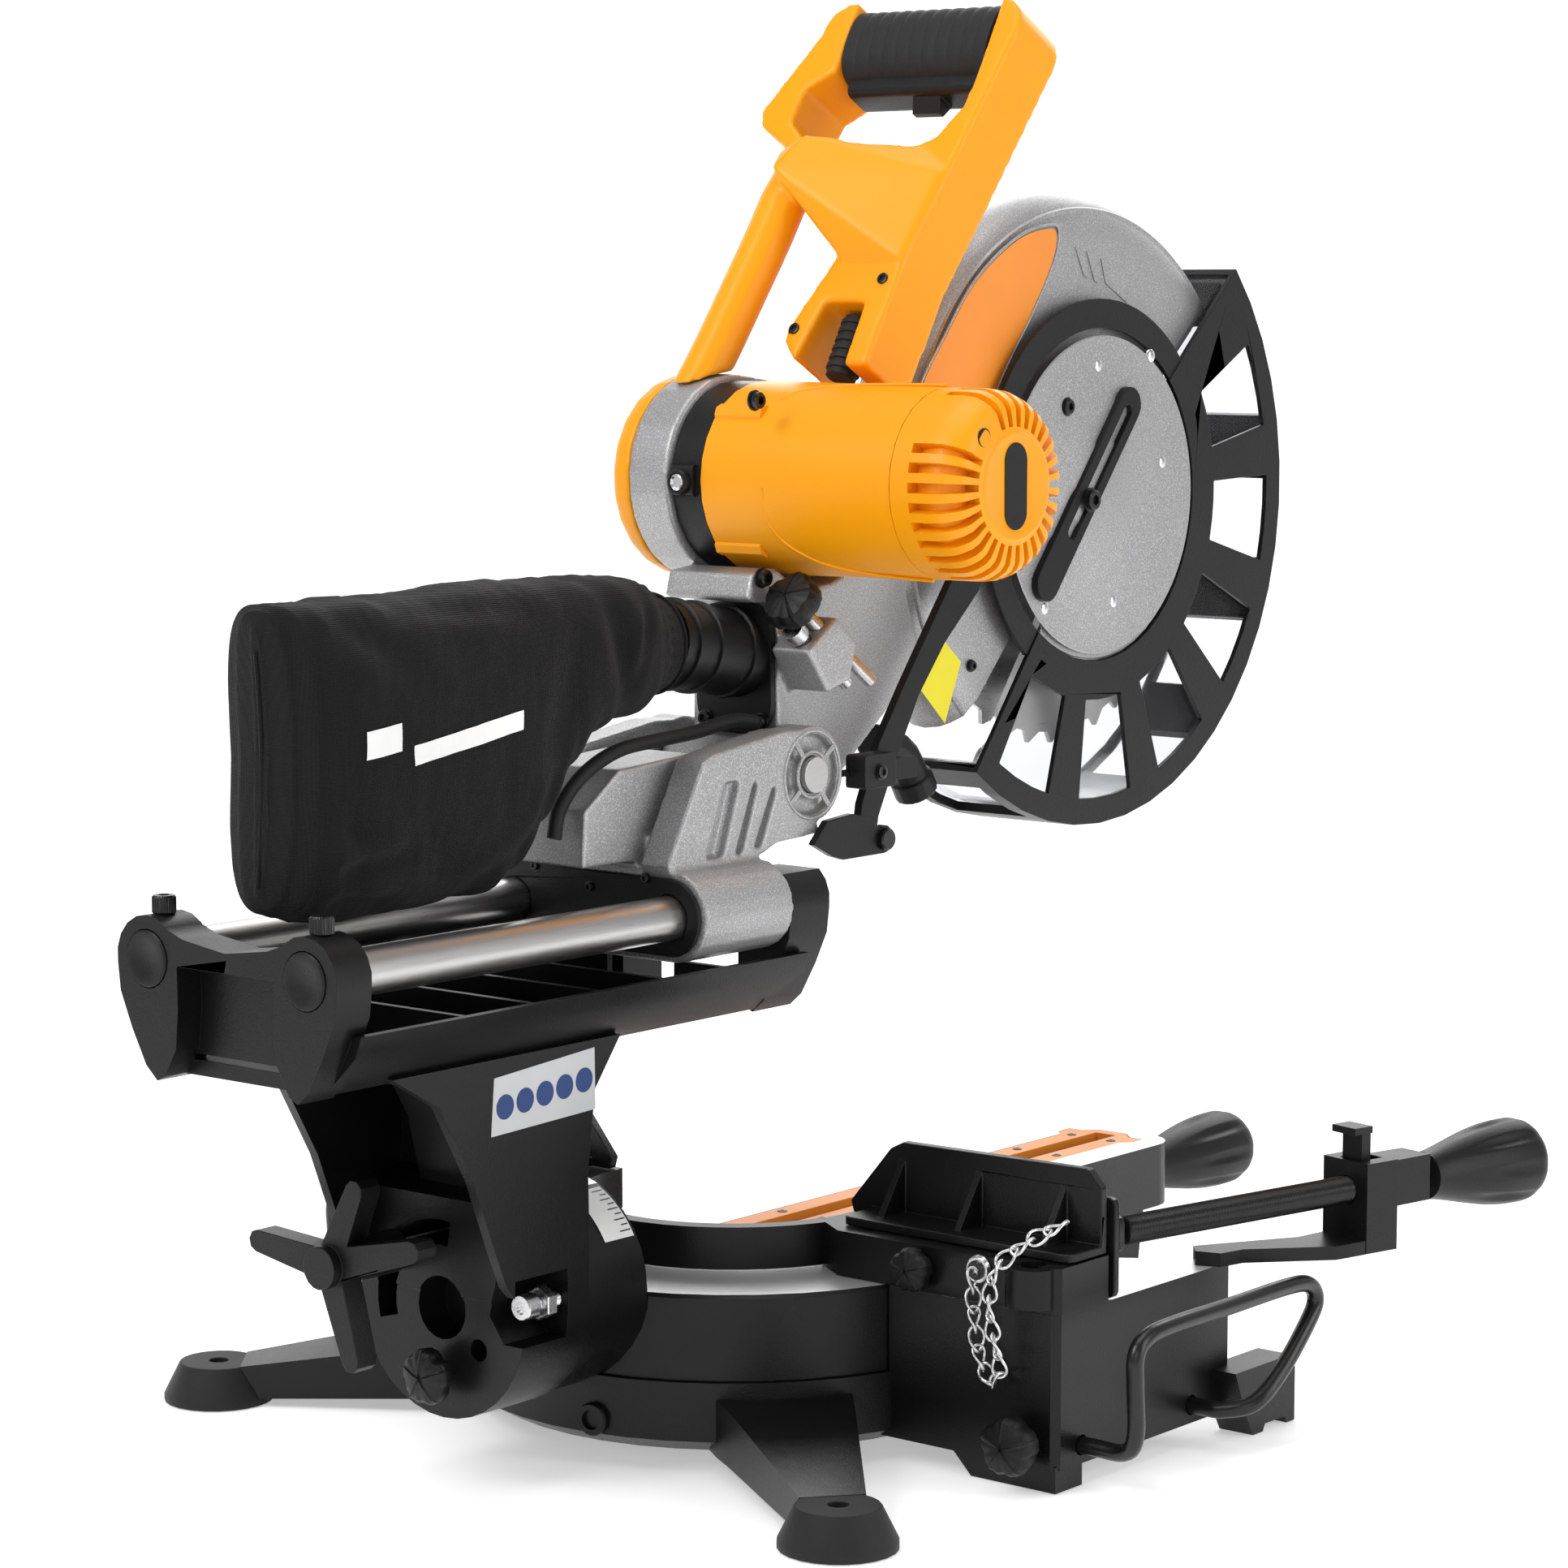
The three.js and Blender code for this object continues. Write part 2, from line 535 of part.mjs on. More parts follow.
function beltCover() {
  const shape = shapeOf(stadium(MOTOR.y, MOTOR.z, 50, BLADE.y, BLADE.z, 34, 12));
  const g = new THREE.ExtrudeGeometry(shape, {
    depth: 4,
    bevelEnabled: true,
    bevelThickness: 12,
    bevelSize: 7.5,
    bevelSegments: 3,
  });
  const body = placed(g, basis([0, 1, 0], [0, 0, 1], [1, 0, 0], [63.3, 0, 0]));
  return cut(body, box(0, 63.3, -400, 100, 400, 700));
}

function lugs(x0, x1, r, offset) {
  return [45, 135, 225, 315].map((t) => {
    const a = (t * Math.PI) / 180;
    const y = MOTOR.y + (MOTOR.r + offset) * Math.cos(a);
    const z = MOTOR.z + (MOTOR.r + offset) * Math.sin(a);
    return bar([x0, y, z], [x1, y, z], r, r, 8);
  });
}

function motorSpacer() {
  return union(
    bar([13, MOTOR.y, MOTOR.z], [33.7, MOTOR.y, MOTOR.z], MOTOR.r, MOTOR.r, 28),
    plateX(roundBox(MOTOR.y + 40, MOTOR.y + 57.5, MOTOR.z - 9, MOTOR.z + 9, 3, 2), 16, 31),
  );
}

function motorHousing() {
  return union(
    bar([-22, MOTOR.y, MOTOR.z], [12.7, MOTOR.y, MOTOR.z], MOTOR.r, MOTOR.r, 28),
    bar([-118, MOTOR.y, MOTOR.z], [-21, MOTOR.y, MOTOR.z], MOTOR.r - 1.5, MOTOR.r, 28),
    lugs(-20, 12.7, 6, -3),
  );
}

function motorEndCap() {
  const x = -118.3;
  const r = MOTOR.r - 1.8;
  const body = turned([[0, 0], [r, 0], [r, 34], [r - 4, 42], [r - 12, 46], [26, 46], [25, 44], [0, 44]],
    [x, MOTOR.y, MOTOR.z], [-1, 0, 0], 28);
  const slots = [];
  for (let i = 0; i < 18; i += 1) {
    const g = new THREE.BoxGeometry(30, 22, 4.4);
    g.translate(0, 44, 0);
    g.rotateX((2 * Math.PI * i) / 18);
    g.translate(x - 37, MOTOR.y, MOTOR.z);
    slots.push(solid(g));
  }
  return cut(body, slots);
}

function upperGuard() {
  const from = -47;
  const to = 140;
  const outer = plateX(ringSector(BLADE.y, BLADE.z, 62, GUARD_R, from, to, 24), -27, 27);
  const inner = plateX(ringSector(BLADE.y, BLADE.z, 50, GUARD_R - 3.5, from - 8, to + 8, 28), -23.5, 23.5);
  return cut(outer, inner);
}

function local(u, v, n) {
  const ny = HANDLE.tz;
  const nz = -HANDLE.ty;
  return [u, HANDLE.y + v * HANDLE.ty + n * ny, HANDLE.z + v * HANDLE.tz + n * nz];
}

function handleFrameMatrix(n0) {
  const o = local(0, 0, n0);
  return basis([1, 0, 0], [0, HANDLE.ty, HANDLE.tz], [0, -HANDLE.tz, HANDLE.ty], o);
}

function handleFrame() {
  const outer = [[-54, -88], [-38, -88], [-38, -48], [-10, -48], [-2, -86], [10, -74], [11, -66], [-7, -18], [2, 8],
    [24, 28], [54, 50], [84, 68], [88, 78], [63, 129], ...arc(44, 131, 19, 0, 90, 5),
    ...arc(-58, 128, 22, 90, 180, 5), [-65, 32], [-56, -22]];
  const window = [[-60, 78], [-48, 58], [-33, 50], [0, 44], [40, 52], [62, 70], [60, 92], [42, 104], [42, 180],
    [-62, 180], [-62, 100]];
  const loop = cut(placed(extruded(outer, 44), handleFrameMatrix(22)),
    placed(extruded(window, 80), handleFrameMatrix(40)));
  const bulge = hullOf([[18, 12, 44], [34, 20, 54], [42, 36, 44], [22, 44, 50], [-62, 34, 24], [-54, -22, 24],
    [-13, -23, 24], [20, 52, 20], [-46, 52, 20], [24, 26, 0], [-12, -22, 0], [-54, -22, 0], [-60, 50, 0], [20, 50, 0]]
    .map(([u, v, n]) => local(u, v, n)));
  const brace = tube([[22, -122, 680], [26, -112, 694], [32, -98, 691], [38, -70, 646], [47, -34, 583], [51, -21, 562]], 14, 10, 10);
  const guardRoom = bar([-60, BLADE.y, BLADE.z], [33.5, BLADE.y, BLADE.z], LOWER_R + 4, LOWER_R + 4, 44);
  const caseRoom = bar([-60, MOTOR.y, MOTOR.z], [70, MOTOR.y, MOTOR.z], 59, 59, 24);
  return cut(union(loop, cut(bulge, placed(extruded(window, 80), handleFrameMatrix(40))), brace), guardRoom, caseRoom);
}

function gripSleeve() {
  const g = extruded(roundBox(-22, 22, 102, 150, 12, 4), GRIP.u1 - GRIP.u0);
  const across = (u) => basis([0, HANDLE.tz, -HANDLE.ty], [0, HANDLE.ty, HANDLE.tz], [1, 0, 0], local(u, 0, 0));
  const pocket = placed(extruded(roundBox(-13, 13, 80, 124.5, 2, 2), GRIP.u1 - GRIP.u0 - 4), across(GRIP.u0 + 2));
  return cut(placed(g, across(GRIP.u0)), pocket);
}

function trigger() {
  const across = (u) => basis([0, HANDLE.tz, -HANDLE.ty], [0, HANDLE.ty, HANDLE.tz], [1, 0, 0], local(u, 0, 0));
  const bladeBar = placed(extruded(roundBox(-12, 12, 94, 119.8, 5, 3), GRIP.u1 - GRIP.u0 - 8), across(GRIP.u0 + 4));
  const tip = placed(extruded([[-7, 95], [7, 95], [2, 85], [-2, 85]], 20), across(-28));
  return union(bladeBar, tip);
}

function switchBoot() {
  return tube([local(-24, -50.5, 4), local(-24, -63, 4), local(-24, -75, 4), local(-24, -88, 4)], 9, 6, 12);
}

function dustChute() {
  const y0 = -3;
  const flange = plateY(roundBox(-27, 27, 380, 452, 16, 4), y0, y0 + 4);
  const throat = cut(bar([0, y0 + 2, 424], [0, 66, 434], 25, 24, 20), box(-40, 40, y0 - 20, y0, 380, 470));
  return union(flange, throat);
}

function dustBag() {
  const side = [[70.5, 408], [96, 402], [130, 397], [172, 380], [200, 335], [226, 316], [280, 312], [330, 312],
    [350, 334], [352, 400], [348, 455], [330, 469], [226, 474], [150, 474], [96, 470], [70.5, 460]];
  const plan = [[25, 70.5], [34, 96], [42, 150], [46, 226], [46, 280], [44, 330], [34, 352]];
  const mirrored = plan.map(([x, y]) => [-x, y]).reverse();
  const face = roundBox(-46.5, 46.5, 311.5, 475, 17, 4);
  const body = plateX(side, -50, 50).intersect(plateZ([...plan, ...mirrored], 300, 480));
  const rounded = body.intersect(plateY(face, 60, 360));
  const neck = plateY(roundBox(-25.5, 25.5, 407, 461, 18, 4), 60, 75);
  const rest = box(-60, 60, 74.99, 360, 300, 480);
  return rounded.intersect(union(neck, rest));
}

function laserUnit() {
  return union(
    tube([[-12, -108, 366], [-12, -122, 363], [-12, -136, 356], [-12, -146, 342]], 11, 6, 12),
    bar([-12, -145, 343], [-12, -151, 333], 13, 13, 16),
  );
}

function depthBolt() {
  const d = [0, -0.819, -0.573];
  const at = (t) => [-46, 12 + d[1] * t, 459.7 + d[2] * t];
  return union(knob(at(2), d.map((c) => -c), 17, 18, 0), bar(at(0), at(92), 4, 4, 12));
}

function stopScrew() {
  const d = [0, -0.819, -0.573];
  const at = (t) => [-46, -4 + d[1] * t, 433 + d[2] * t];
  return union(bar(at(-12), at(-4), 6.5, 6.5, 12), bar(at(-5), at(46), 4, 4, 12));
}

// --- blade and guards -----------------------------------------------------------

function sawBlade() {
  const teeth = 40;
  const outline = [];
  for (let i = 0; i < teeth; i += 1) {
    const t = (360 * i) / teeth;
    outline.push(...arc(BLADE.y, BLADE.z, BLADE_R, t, t + 0.5, 1));
    outline.push(...arc(BLADE.y, BLADE.z, BLADE_R - 7, t + 2, t + 5.4, 1));
  }
  return plateX(outline, -1.3, 1.3, [arc(BLADE.y, BLADE.z, 8.4, 0, 342, 19)]);
}

function arbor() {
  const at = (x) => [x, BLADE.y, BLADE.z];
  return union(
    bar(at(-24), at(33.5), 8, 8, 20),
    bar(at(1.6), at(9), 22, 22, 24),
    bar(at(-9), at(-1.6), 22, 22, 24),
    bar(at(-24), at(-8), 10, 10, 6),
  );
}

function guardWindows() {
  const cuts = [];
  for (let i = 0; i < 6; i += 1) {
    const a = 146 + i * 27;
    cuts.push(ringSector(BLADE.y, BLADE.z, 124, 184, a + 5, a + 22, 3));
  }
  return cuts;
}

function guardFrame() {
  const left = plateX(ringSector(BLADE.y, BLADE.z, 100, LOWER_R, 137, 308, 22), -37, -33.8, guardWindows());
  const rim = plateX(ringSector(BLADE.y, BLADE.z, 194.5, LOWER_R, 137, 308, 22), -36, 33);
  const rimCuts = [];
  for (let i = 0; i < 6; i += 1) {
    const a = 146 + i * 27;
    rimCuts.push(plateX(ringSector(BLADE.y, BLADE.z, 190, 204, a + 6, a + 21, 1), -26, 26));
  }
  return union(left, cut(rim, rimCuts));
}

function guardShell() {
  const outer = plateX(ringSector(BLADE.y, BLADE.z, 66, 194, 138, 307, 22), -33.5, 33);
  const inner = plateX(ringSector(BLADE.y, BLADE.z, 40, 191, 130, 315, 22), -28, 28);
  return cut(outer, inner);
}

function hubPlate() {
  const x = -35.2;
  const disc = plateX([...arc(BLADE.y, BLADE.z, 99, 148, 306, 22), ...arc(BLADE.y, BLADE.z, 40, -30, 100, 10)], x, -33.8);
  const boss = bar([x - 2.6, BLADE.y, BLADE.z], [-33.8, BLADE.y, BLADE.z], 34, 38, 20);
  return union(disc, boss);
}

function slottedLever() {
  const outline = stadium(-322, 556, 11, -238, 452, 11, 8);
  const slot = stadium(-319, 552, 4, -262, 481, 4, 5);
  return plateX(outline, -43.4, -38.2, [slot]);
}

function guardLink() {
  const outline = [...arc(LINK.y, LINK.z, 8.2, 170, 350, 8), [-52, 338], [-68, 372], [-90, 402], [-118, 438], [-140, 466],
    [-158, 492], [-170, 498], [-180, 486], [-160, 452], [-128, 424], [-104, 396], [-84, 362], [-67, 330]];
  return cut(plateX(outline, -49.6, -44.4), bar([-60, LINK.y, LINK.z], [-30, LINK.y, LINK.z], 4.9, 4.9, 12));
}

// --- clamp ------------------------------------------------------------------------

const CLAMP = { x: -251, y: -14, z: 129, dx: -0.222, dy: -0.975 };

function onClamp(d, z = CLAMP.z) {
  return [CLAMP.x + CLAMP.dx * d, CLAMP.y + CLAMP.dy * d, z];
}

function clampFrame() {
  const a = [-252, -112];
  const side = [-CLAMP.dy, CLAMP.dx];
  const p = (d, w) => {
    const c = onClamp(d);
    return [c[0] + side[0] * w, c[1] + side[1] * w];
  };
  const strap = plateZ([[a[0] + 14, a[1] + 4], p(150, 14), p(196, 17), p(196, -17), p(150, -16), [a[0] - 12, a[1] - 6],
    [a[0] - 8, a[1] + 10], [a[0] + 6, a[1] + 14]], TABLE_Z + GAP, 103);
  const post = plateZ([p(172, 17), p(196, 17), p(196, -17), p(172, -17)], 96, 146);
  const nose = plateZ([p(195, 12), p(228, 11), p(228, -11), p(195, -12)], 118, 144);
  const bore = bar(onClamp(150), onClamp(250), 8.4, 8.4, 16);
  const leverSlot = plateZ([p(175, 8), p(200, 8), p(200, -8), p(175, -8)], 135, 160);
  const body = cut(union(strap, post, nose), bore);
  return cut(body, leverSlot);
}

function clampScrew() {
  const thread = bar(onClamp(4.6), onClamp(240), 8, 8, 16);
  const grip = turned([[0, 0], [12, 0], [15, 8], [22, 24], [24.5, 42], [24, 62], [20, 78], [12, 86], [0, 88]],
    onClamp(234), [CLAMP.dx, CLAMP.dy, 0], 24);
  return union(thread, grip);
}

function clampPad() {
  return union(
    plateY(roundBox(CLAMP.x - 8, CLAMP.x + 24, 95.8, 150, 4, 2), -7, -2.5),
    plateY(roundBox(CLAMP.x - 7, CLAMP.x + 9, 119, 139, 4, 2), -13.5, -6.5),
  );
}

function clampRelease() {
  const side = [-CLAMP.dy, CLAMP.dx];
  const p = (d, w) => {
    const c = onClamp(d);
    return [c[0] + side[0] * w, c[1] + side[1] * w];
  };
  return union(
    plateZ([p(177, 7.5), p(184, 7.5), p(184, -7.5), p(177, -7.5)], 140, 164),
    plateZ([p(170, 9), p(184, 9), p(184, -9), p(170, -9)], 161, 165),
  );
}

// --- flexible pieces ----------------------------------------------------------------

function headCable() {
  return tube([[-24, 12, 388], [-23, 30, 390], [-22, 60, 386], [-21, 90, 384], [-20, 120, 381],
    [-18, 146, 370], [-17, 163, 354], [-17, 168, 338]], 4, 18, 6);
}

function chain() {
  return tube([[-206, 50.5, 113], [-207, 52, 96], [-212, 53, 70], [-220, 54, 58], [-229, 57, 64],
    [-224, 60, 92], [-226, 60, 116], [-236, 50, 130], [-246, 36, 138], [-250, 31, 141]], 2, 26, 5);
}

function chainBolt() {
  return union(bar([-206, 45.3, 113], [-206, 48.2, 113], 8, 7, 16), bar([-206, 40, 113], [-206, 45.6, 113], 2.5, 2.5, 8));
}

// --- assembly -------------------------------------------------------------------------

function node(group, name, manifold, kind) {
  const mesh = new THREE.Mesh(geometryOf(manifold), material(kind));
  mesh.name = name;
  group.add(mesh);
}

function build() {
  const group = new THREE.Group();
  group.name = 'sliding_mitre_saw';
  const add = (name, manifold, kind) => node(group, name, manifold, kind);

  const boltHole = bar([-206, 30, 113], [-206, 50, 113], 2.8, 2.8, 8);
  add('base_casting', baseCasting(), 'casting');
  add('foot_rear_left', rearFoot(-1), 'rubber');
  add('foot_rear_right', rearFoot(1), 'rubber');
  add('fence_casting', cut(fenceCasting(), boltHole), 'casting');
  add('fence_left', slidingFence(), 'casting');
  add('fence_right', mirrorX(slidingFence()), 'casting');
  add('fence_knob_left', knob([-166, 26, 108], [0, 1, 0], 12, 12, 20), 'rubber');
  add('fence_knob_right', knob([166, 26, 108], [0, 1, 0], 12, 12, 20), 'rubber');
  add('bail_left', bail(), 'casting');
  add('bail_right', mirrorX(bail()), 'casting');
  add('bail_knob_left', knob([-237, 28, 26], [0, 1, 0], 16, 18, 23), 'rubber');
  add('bail_knob_right', knob([237, 28, 26], [0, 1, 0], 16, 18, 23), 'rubber');
  add('chain_bolt', chainBolt(), 'steel');
  add('fence_chain', chain(), 'steel');

  add('turntable_casting', turntable(), 'machined');
  add('kerf_insert', kerfInsert(), 'insert');
  add('mitre_grip', mitreGrip(), 'rubber');
  add('bevel_lever', bevelLever(), 'rubber');

  add('bevel_column', bevelColumn(), 'casting');
  add('rail_left', rail(-1), 'steel');
  add('rail_right', rail(1), 'steel');
  add('rail_plug_left', railPlug(-1), 'rubber');
  add('rail_plug_right', railPlug(1), 'rubber');
  add('set_screw_left', setScrew(-1), 'steel');
  add('set_screw_right', setScrew(1), 'steel');
  add('bevel_stop_bolt', stopBolt(), 'steel');
  add('bevel_detent_knob', knob([-2, 216, 63], [0, 1, 0], 15, 16, 26), 'rubber');

  add('carriage_casting', carriage(), 'silver');
  add('seal_plate', sealPlate(), 'rubber');
  add('pivot_shaft', pivotShaft(), 'steel');
  add('link_bracket', linkBracket(), 'casting');
  add('lock_block', lockBlock(), 'rubber');

  add('arm_casting', armCasting(), 'silver');
  add('belt_cover', beltCover(), 'yellow');
  add('motor_spacer', motorSpacer(), 'rubber');
  add('motor_housing', motorHousing(), 'yellow');
  add('motor_end_cap', motorEndCap(), 'yellow');
  add('upper_guard', upperGuard(), 'silver');
  add('handle_frame', handleFrame(), 'yellow');
  add('grip_sleeve', gripSleeve(), 'rubber');
  add('switch_boot', switchBoot(), 'rubber');
  add('dust_chute', dustChute(), 'rubber');
  add('dust_bag', dustBag(), 'fabric');
  add('laser_unit', laserUnit(), 'rubber');
  add('stop_screw', stopScrew(), 'steel');
  add('head_cable', headCable(), 'rubber');
  add('trigger', trigger(), 'rubber');
  add('depth_bolt', depthBolt(), 'rubber');

  add('saw_blade', sawBlade(), 'steel');
  add('arbor', arbor(), 'steel');
  add('guard_frame', guardFrame(), 'casting');
  add('guard_shell', guardShell(), 'clear');
  add('hub_plate', hubPlate(), 'silver');
  add('slotted_lever', slottedLever(), 'casting');
  add('guard_link', guardLink(), 'casting');

  add('clamp_frame', clampFrame(), 'casting');
  add('clamp_pad', clampPad(), 'casting');
  add('clamp_screw', clampScrew(), 'steel');
  add('clamp_release', clampRelease(), 'casting');
  return centred(group);
}

// Moves every mesh so that the origin is the centre of the box's underside.
function centred(group) {
  const bounds = new THREE.Box3().setFromObject(group);
  const middle = bounds.getCenter(new THREE.Vector3());
  for (const mesh of group.children) {
    mesh.geometry.translate(-middle.x, -middle.y, -bounds.min.z);
  }
  return group;
}

export default build();
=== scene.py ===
import math

import bpy
from mathutils import Matrix, Vector, noise


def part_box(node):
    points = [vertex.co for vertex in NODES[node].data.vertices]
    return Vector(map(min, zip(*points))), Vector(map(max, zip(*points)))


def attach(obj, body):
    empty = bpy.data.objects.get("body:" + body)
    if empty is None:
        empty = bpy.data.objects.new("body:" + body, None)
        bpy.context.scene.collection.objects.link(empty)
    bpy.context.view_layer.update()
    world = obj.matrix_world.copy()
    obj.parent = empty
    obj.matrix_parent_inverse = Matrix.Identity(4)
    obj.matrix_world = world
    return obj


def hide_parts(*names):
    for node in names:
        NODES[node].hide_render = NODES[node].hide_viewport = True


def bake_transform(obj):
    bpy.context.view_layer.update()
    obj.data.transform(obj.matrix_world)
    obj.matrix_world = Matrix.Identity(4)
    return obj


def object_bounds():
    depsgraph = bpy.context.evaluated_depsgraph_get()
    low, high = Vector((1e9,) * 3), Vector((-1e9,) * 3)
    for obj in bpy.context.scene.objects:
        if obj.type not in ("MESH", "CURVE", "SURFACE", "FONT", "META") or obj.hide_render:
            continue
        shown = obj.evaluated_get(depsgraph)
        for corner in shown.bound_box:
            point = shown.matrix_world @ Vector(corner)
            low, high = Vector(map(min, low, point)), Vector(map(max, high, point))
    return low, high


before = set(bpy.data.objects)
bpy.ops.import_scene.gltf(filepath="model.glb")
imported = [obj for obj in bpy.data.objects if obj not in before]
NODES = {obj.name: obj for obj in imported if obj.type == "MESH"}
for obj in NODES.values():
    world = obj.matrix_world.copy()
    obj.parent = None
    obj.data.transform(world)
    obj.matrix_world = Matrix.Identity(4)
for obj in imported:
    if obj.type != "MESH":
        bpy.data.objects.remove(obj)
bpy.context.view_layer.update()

# The saw frame, in millimetres: X right, Y to the back, Z up, turntable axis at X = Y = 0.
lo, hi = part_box("pivot_shaft")
ORIGIN = (lo + hi) / 2 - Vector((0, 0, 0.36))


def S(x, y, z):
    return ORIGIN + Vector((x, y, z)) / 1000


# ---------------------------------------------------------------- materials


def node(tree, kind, **settings):
    n = tree.nodes.new(kind)
    for key, value in settings.items():
        setattr(n, key, value)
    return n


def noise_tex(tree, coord, scale, detail=3, stretch=None):
    """A noise texture in the piece's own space, stretched along an axis for a brushed finish."""
    n = node(tree, "ShaderNodeTexNoise")
    n.inputs["Scale"].default_value = scale
    n.inputs["Detail"].default_value = detail
    if stretch:
        m = node(tree, "ShaderNodeMapping")
        m.inputs["Scale"].default_value = stretch
        tree.links.new(coord, m.inputs["Vector"])
        coord = m.outputs["Vector"]
    tree.links.new(coord, n.inputs["Vector"])
    return n.outputs["Fac"]


def remap(tree, value, a, b, lo_in=0.3, hi_in=0.7):
    n = node(tree, "ShaderNodeMapRange")
    for k, v in zip(("From Min", "From Max", "To Min", "To Max"), (lo_in, hi_in, a, b)):
        n.inputs[k].default_value = v
    tree.links.new(value, n.inputs["Value"])
    return n.outputs["Result"]


def mix(tree, fac, a, b):
    n = node(tree, "ShaderNodeMix", data_type="RGBA")
    for s, v in ((n.inputs[6], a), (n.inputs[7], b)):
        if hasattr(v, "is_linked"):
            tree.links.new(v, s)
        else:
            s.default_value = (*v, 1)
    tree.links.new(fac, n.inputs[0])
    return n.outputs[2]


def material(
    name, colour, rough, metal=0.0, second=None, speck=None, grain=(700, 0.1),
    wear=(9, 0.06), stretch=None, coat=0.0, sheen=0.0, weave=None, spec=0.5, glass=0.0,
):
    """colour and second are mixed by a large soft noise, speck = (scale, colour, low, high) adds flakes,
    grain = (scale, strength) is the fine surface bump, and wear = (scale, range) varies the roughness."""
    m = bpy.data.materials.new(name)
    m.use_nodes = True
    t = m.node_tree
    p = t.nodes["Principled BSDF"]
    coord = node(t, "ShaderNodeTexCoord").outputs["Object"]
    p.inputs["Metallic"].default_value = metal
    p.inputs["Coat Weight"].default_value = coat
    p.inputs["Coat Roughness"].default_value = 0.25
    p.inputs["Specular IOR Level"].default_value = spec
    p.inputs["Sheen Weight"].default_value = sheen
    if sheen:
        p.inputs["Sheen Roughness"].default_value = 0.45
    if glass:
        p.inputs["Transmission Weight"].default_value = glass
        p.inputs["IOR"].default_value = 1.12
    soft = noise_tex(t, coord, wear[0], 4)
    base = mix(t, remap(t, soft, 0, 1), colour, second or tuple(c * 0.82 for c in colour))
    if speck:
        flakes = noise_tex(t, coord, speck[0], 2)
        base = mix(t, remap(t, flakes, 0, 1, speck[2], speck[3]), base, speck[1])
    fine = noise_tex(t, coord, grain[0], 3, stretch)
    height = fine
    if weave:
        waves = []
        for axis in ("X", "Y", "Z"):
            w = node(t, "ShaderNodeTexWave", bands_direction=axis)
            w.inputs["Scale"].default_value = weave
            w.inputs["Distortion"].default_value = 0.6
            t.links.new(coord, w.inputs["Vector"])
            waves.append(w.outputs["Fac"])
        height = waves[0]
        for w in waves[1:]:
            x = node(t, "ShaderNodeMath", operation="MULTIPLY_ADD")
            t.links.new(height, x.inputs[0])
            x.inputs[1].default_value = 0.6
            t.links.new(w, x.inputs[2])
            height = x.outputs[0]
        x = node(t, "ShaderNodeMath", operation="ADD")
        t.links.new(height, x.inputs[0])
        t.links.new(fine, x.inputs[1])
        height = x.outputs[0]
        base = mix(t, remap(t, height, 0, 1, 0.8, 2.0), base, tuple(c * 1.7 for c in colour))
    t.links.new(base, p.inputs["Base Color"])
    r = node(t, "ShaderNodeMath", operation="ADD")
    t.links.new(remap(t, soft, rough - wear[1], rough + wear[1]), r.inputs[0])
    t.links.new(remap(t, fine, -0.04, 0.04), r.inputs[1])
    t.links.new(r.outputs[0], p.inputs["Roughness"])
    b = node(t, "ShaderNodeBump")
    b.inputs["Strength"].default_value = grain[1]
    b.inputs["Distance"].default_value = 0.0006
    t.links.new(height, b.inputs["Height"])
    t.links.new(b.outputs["Normal"], p.inputs["Normal"])
    return m


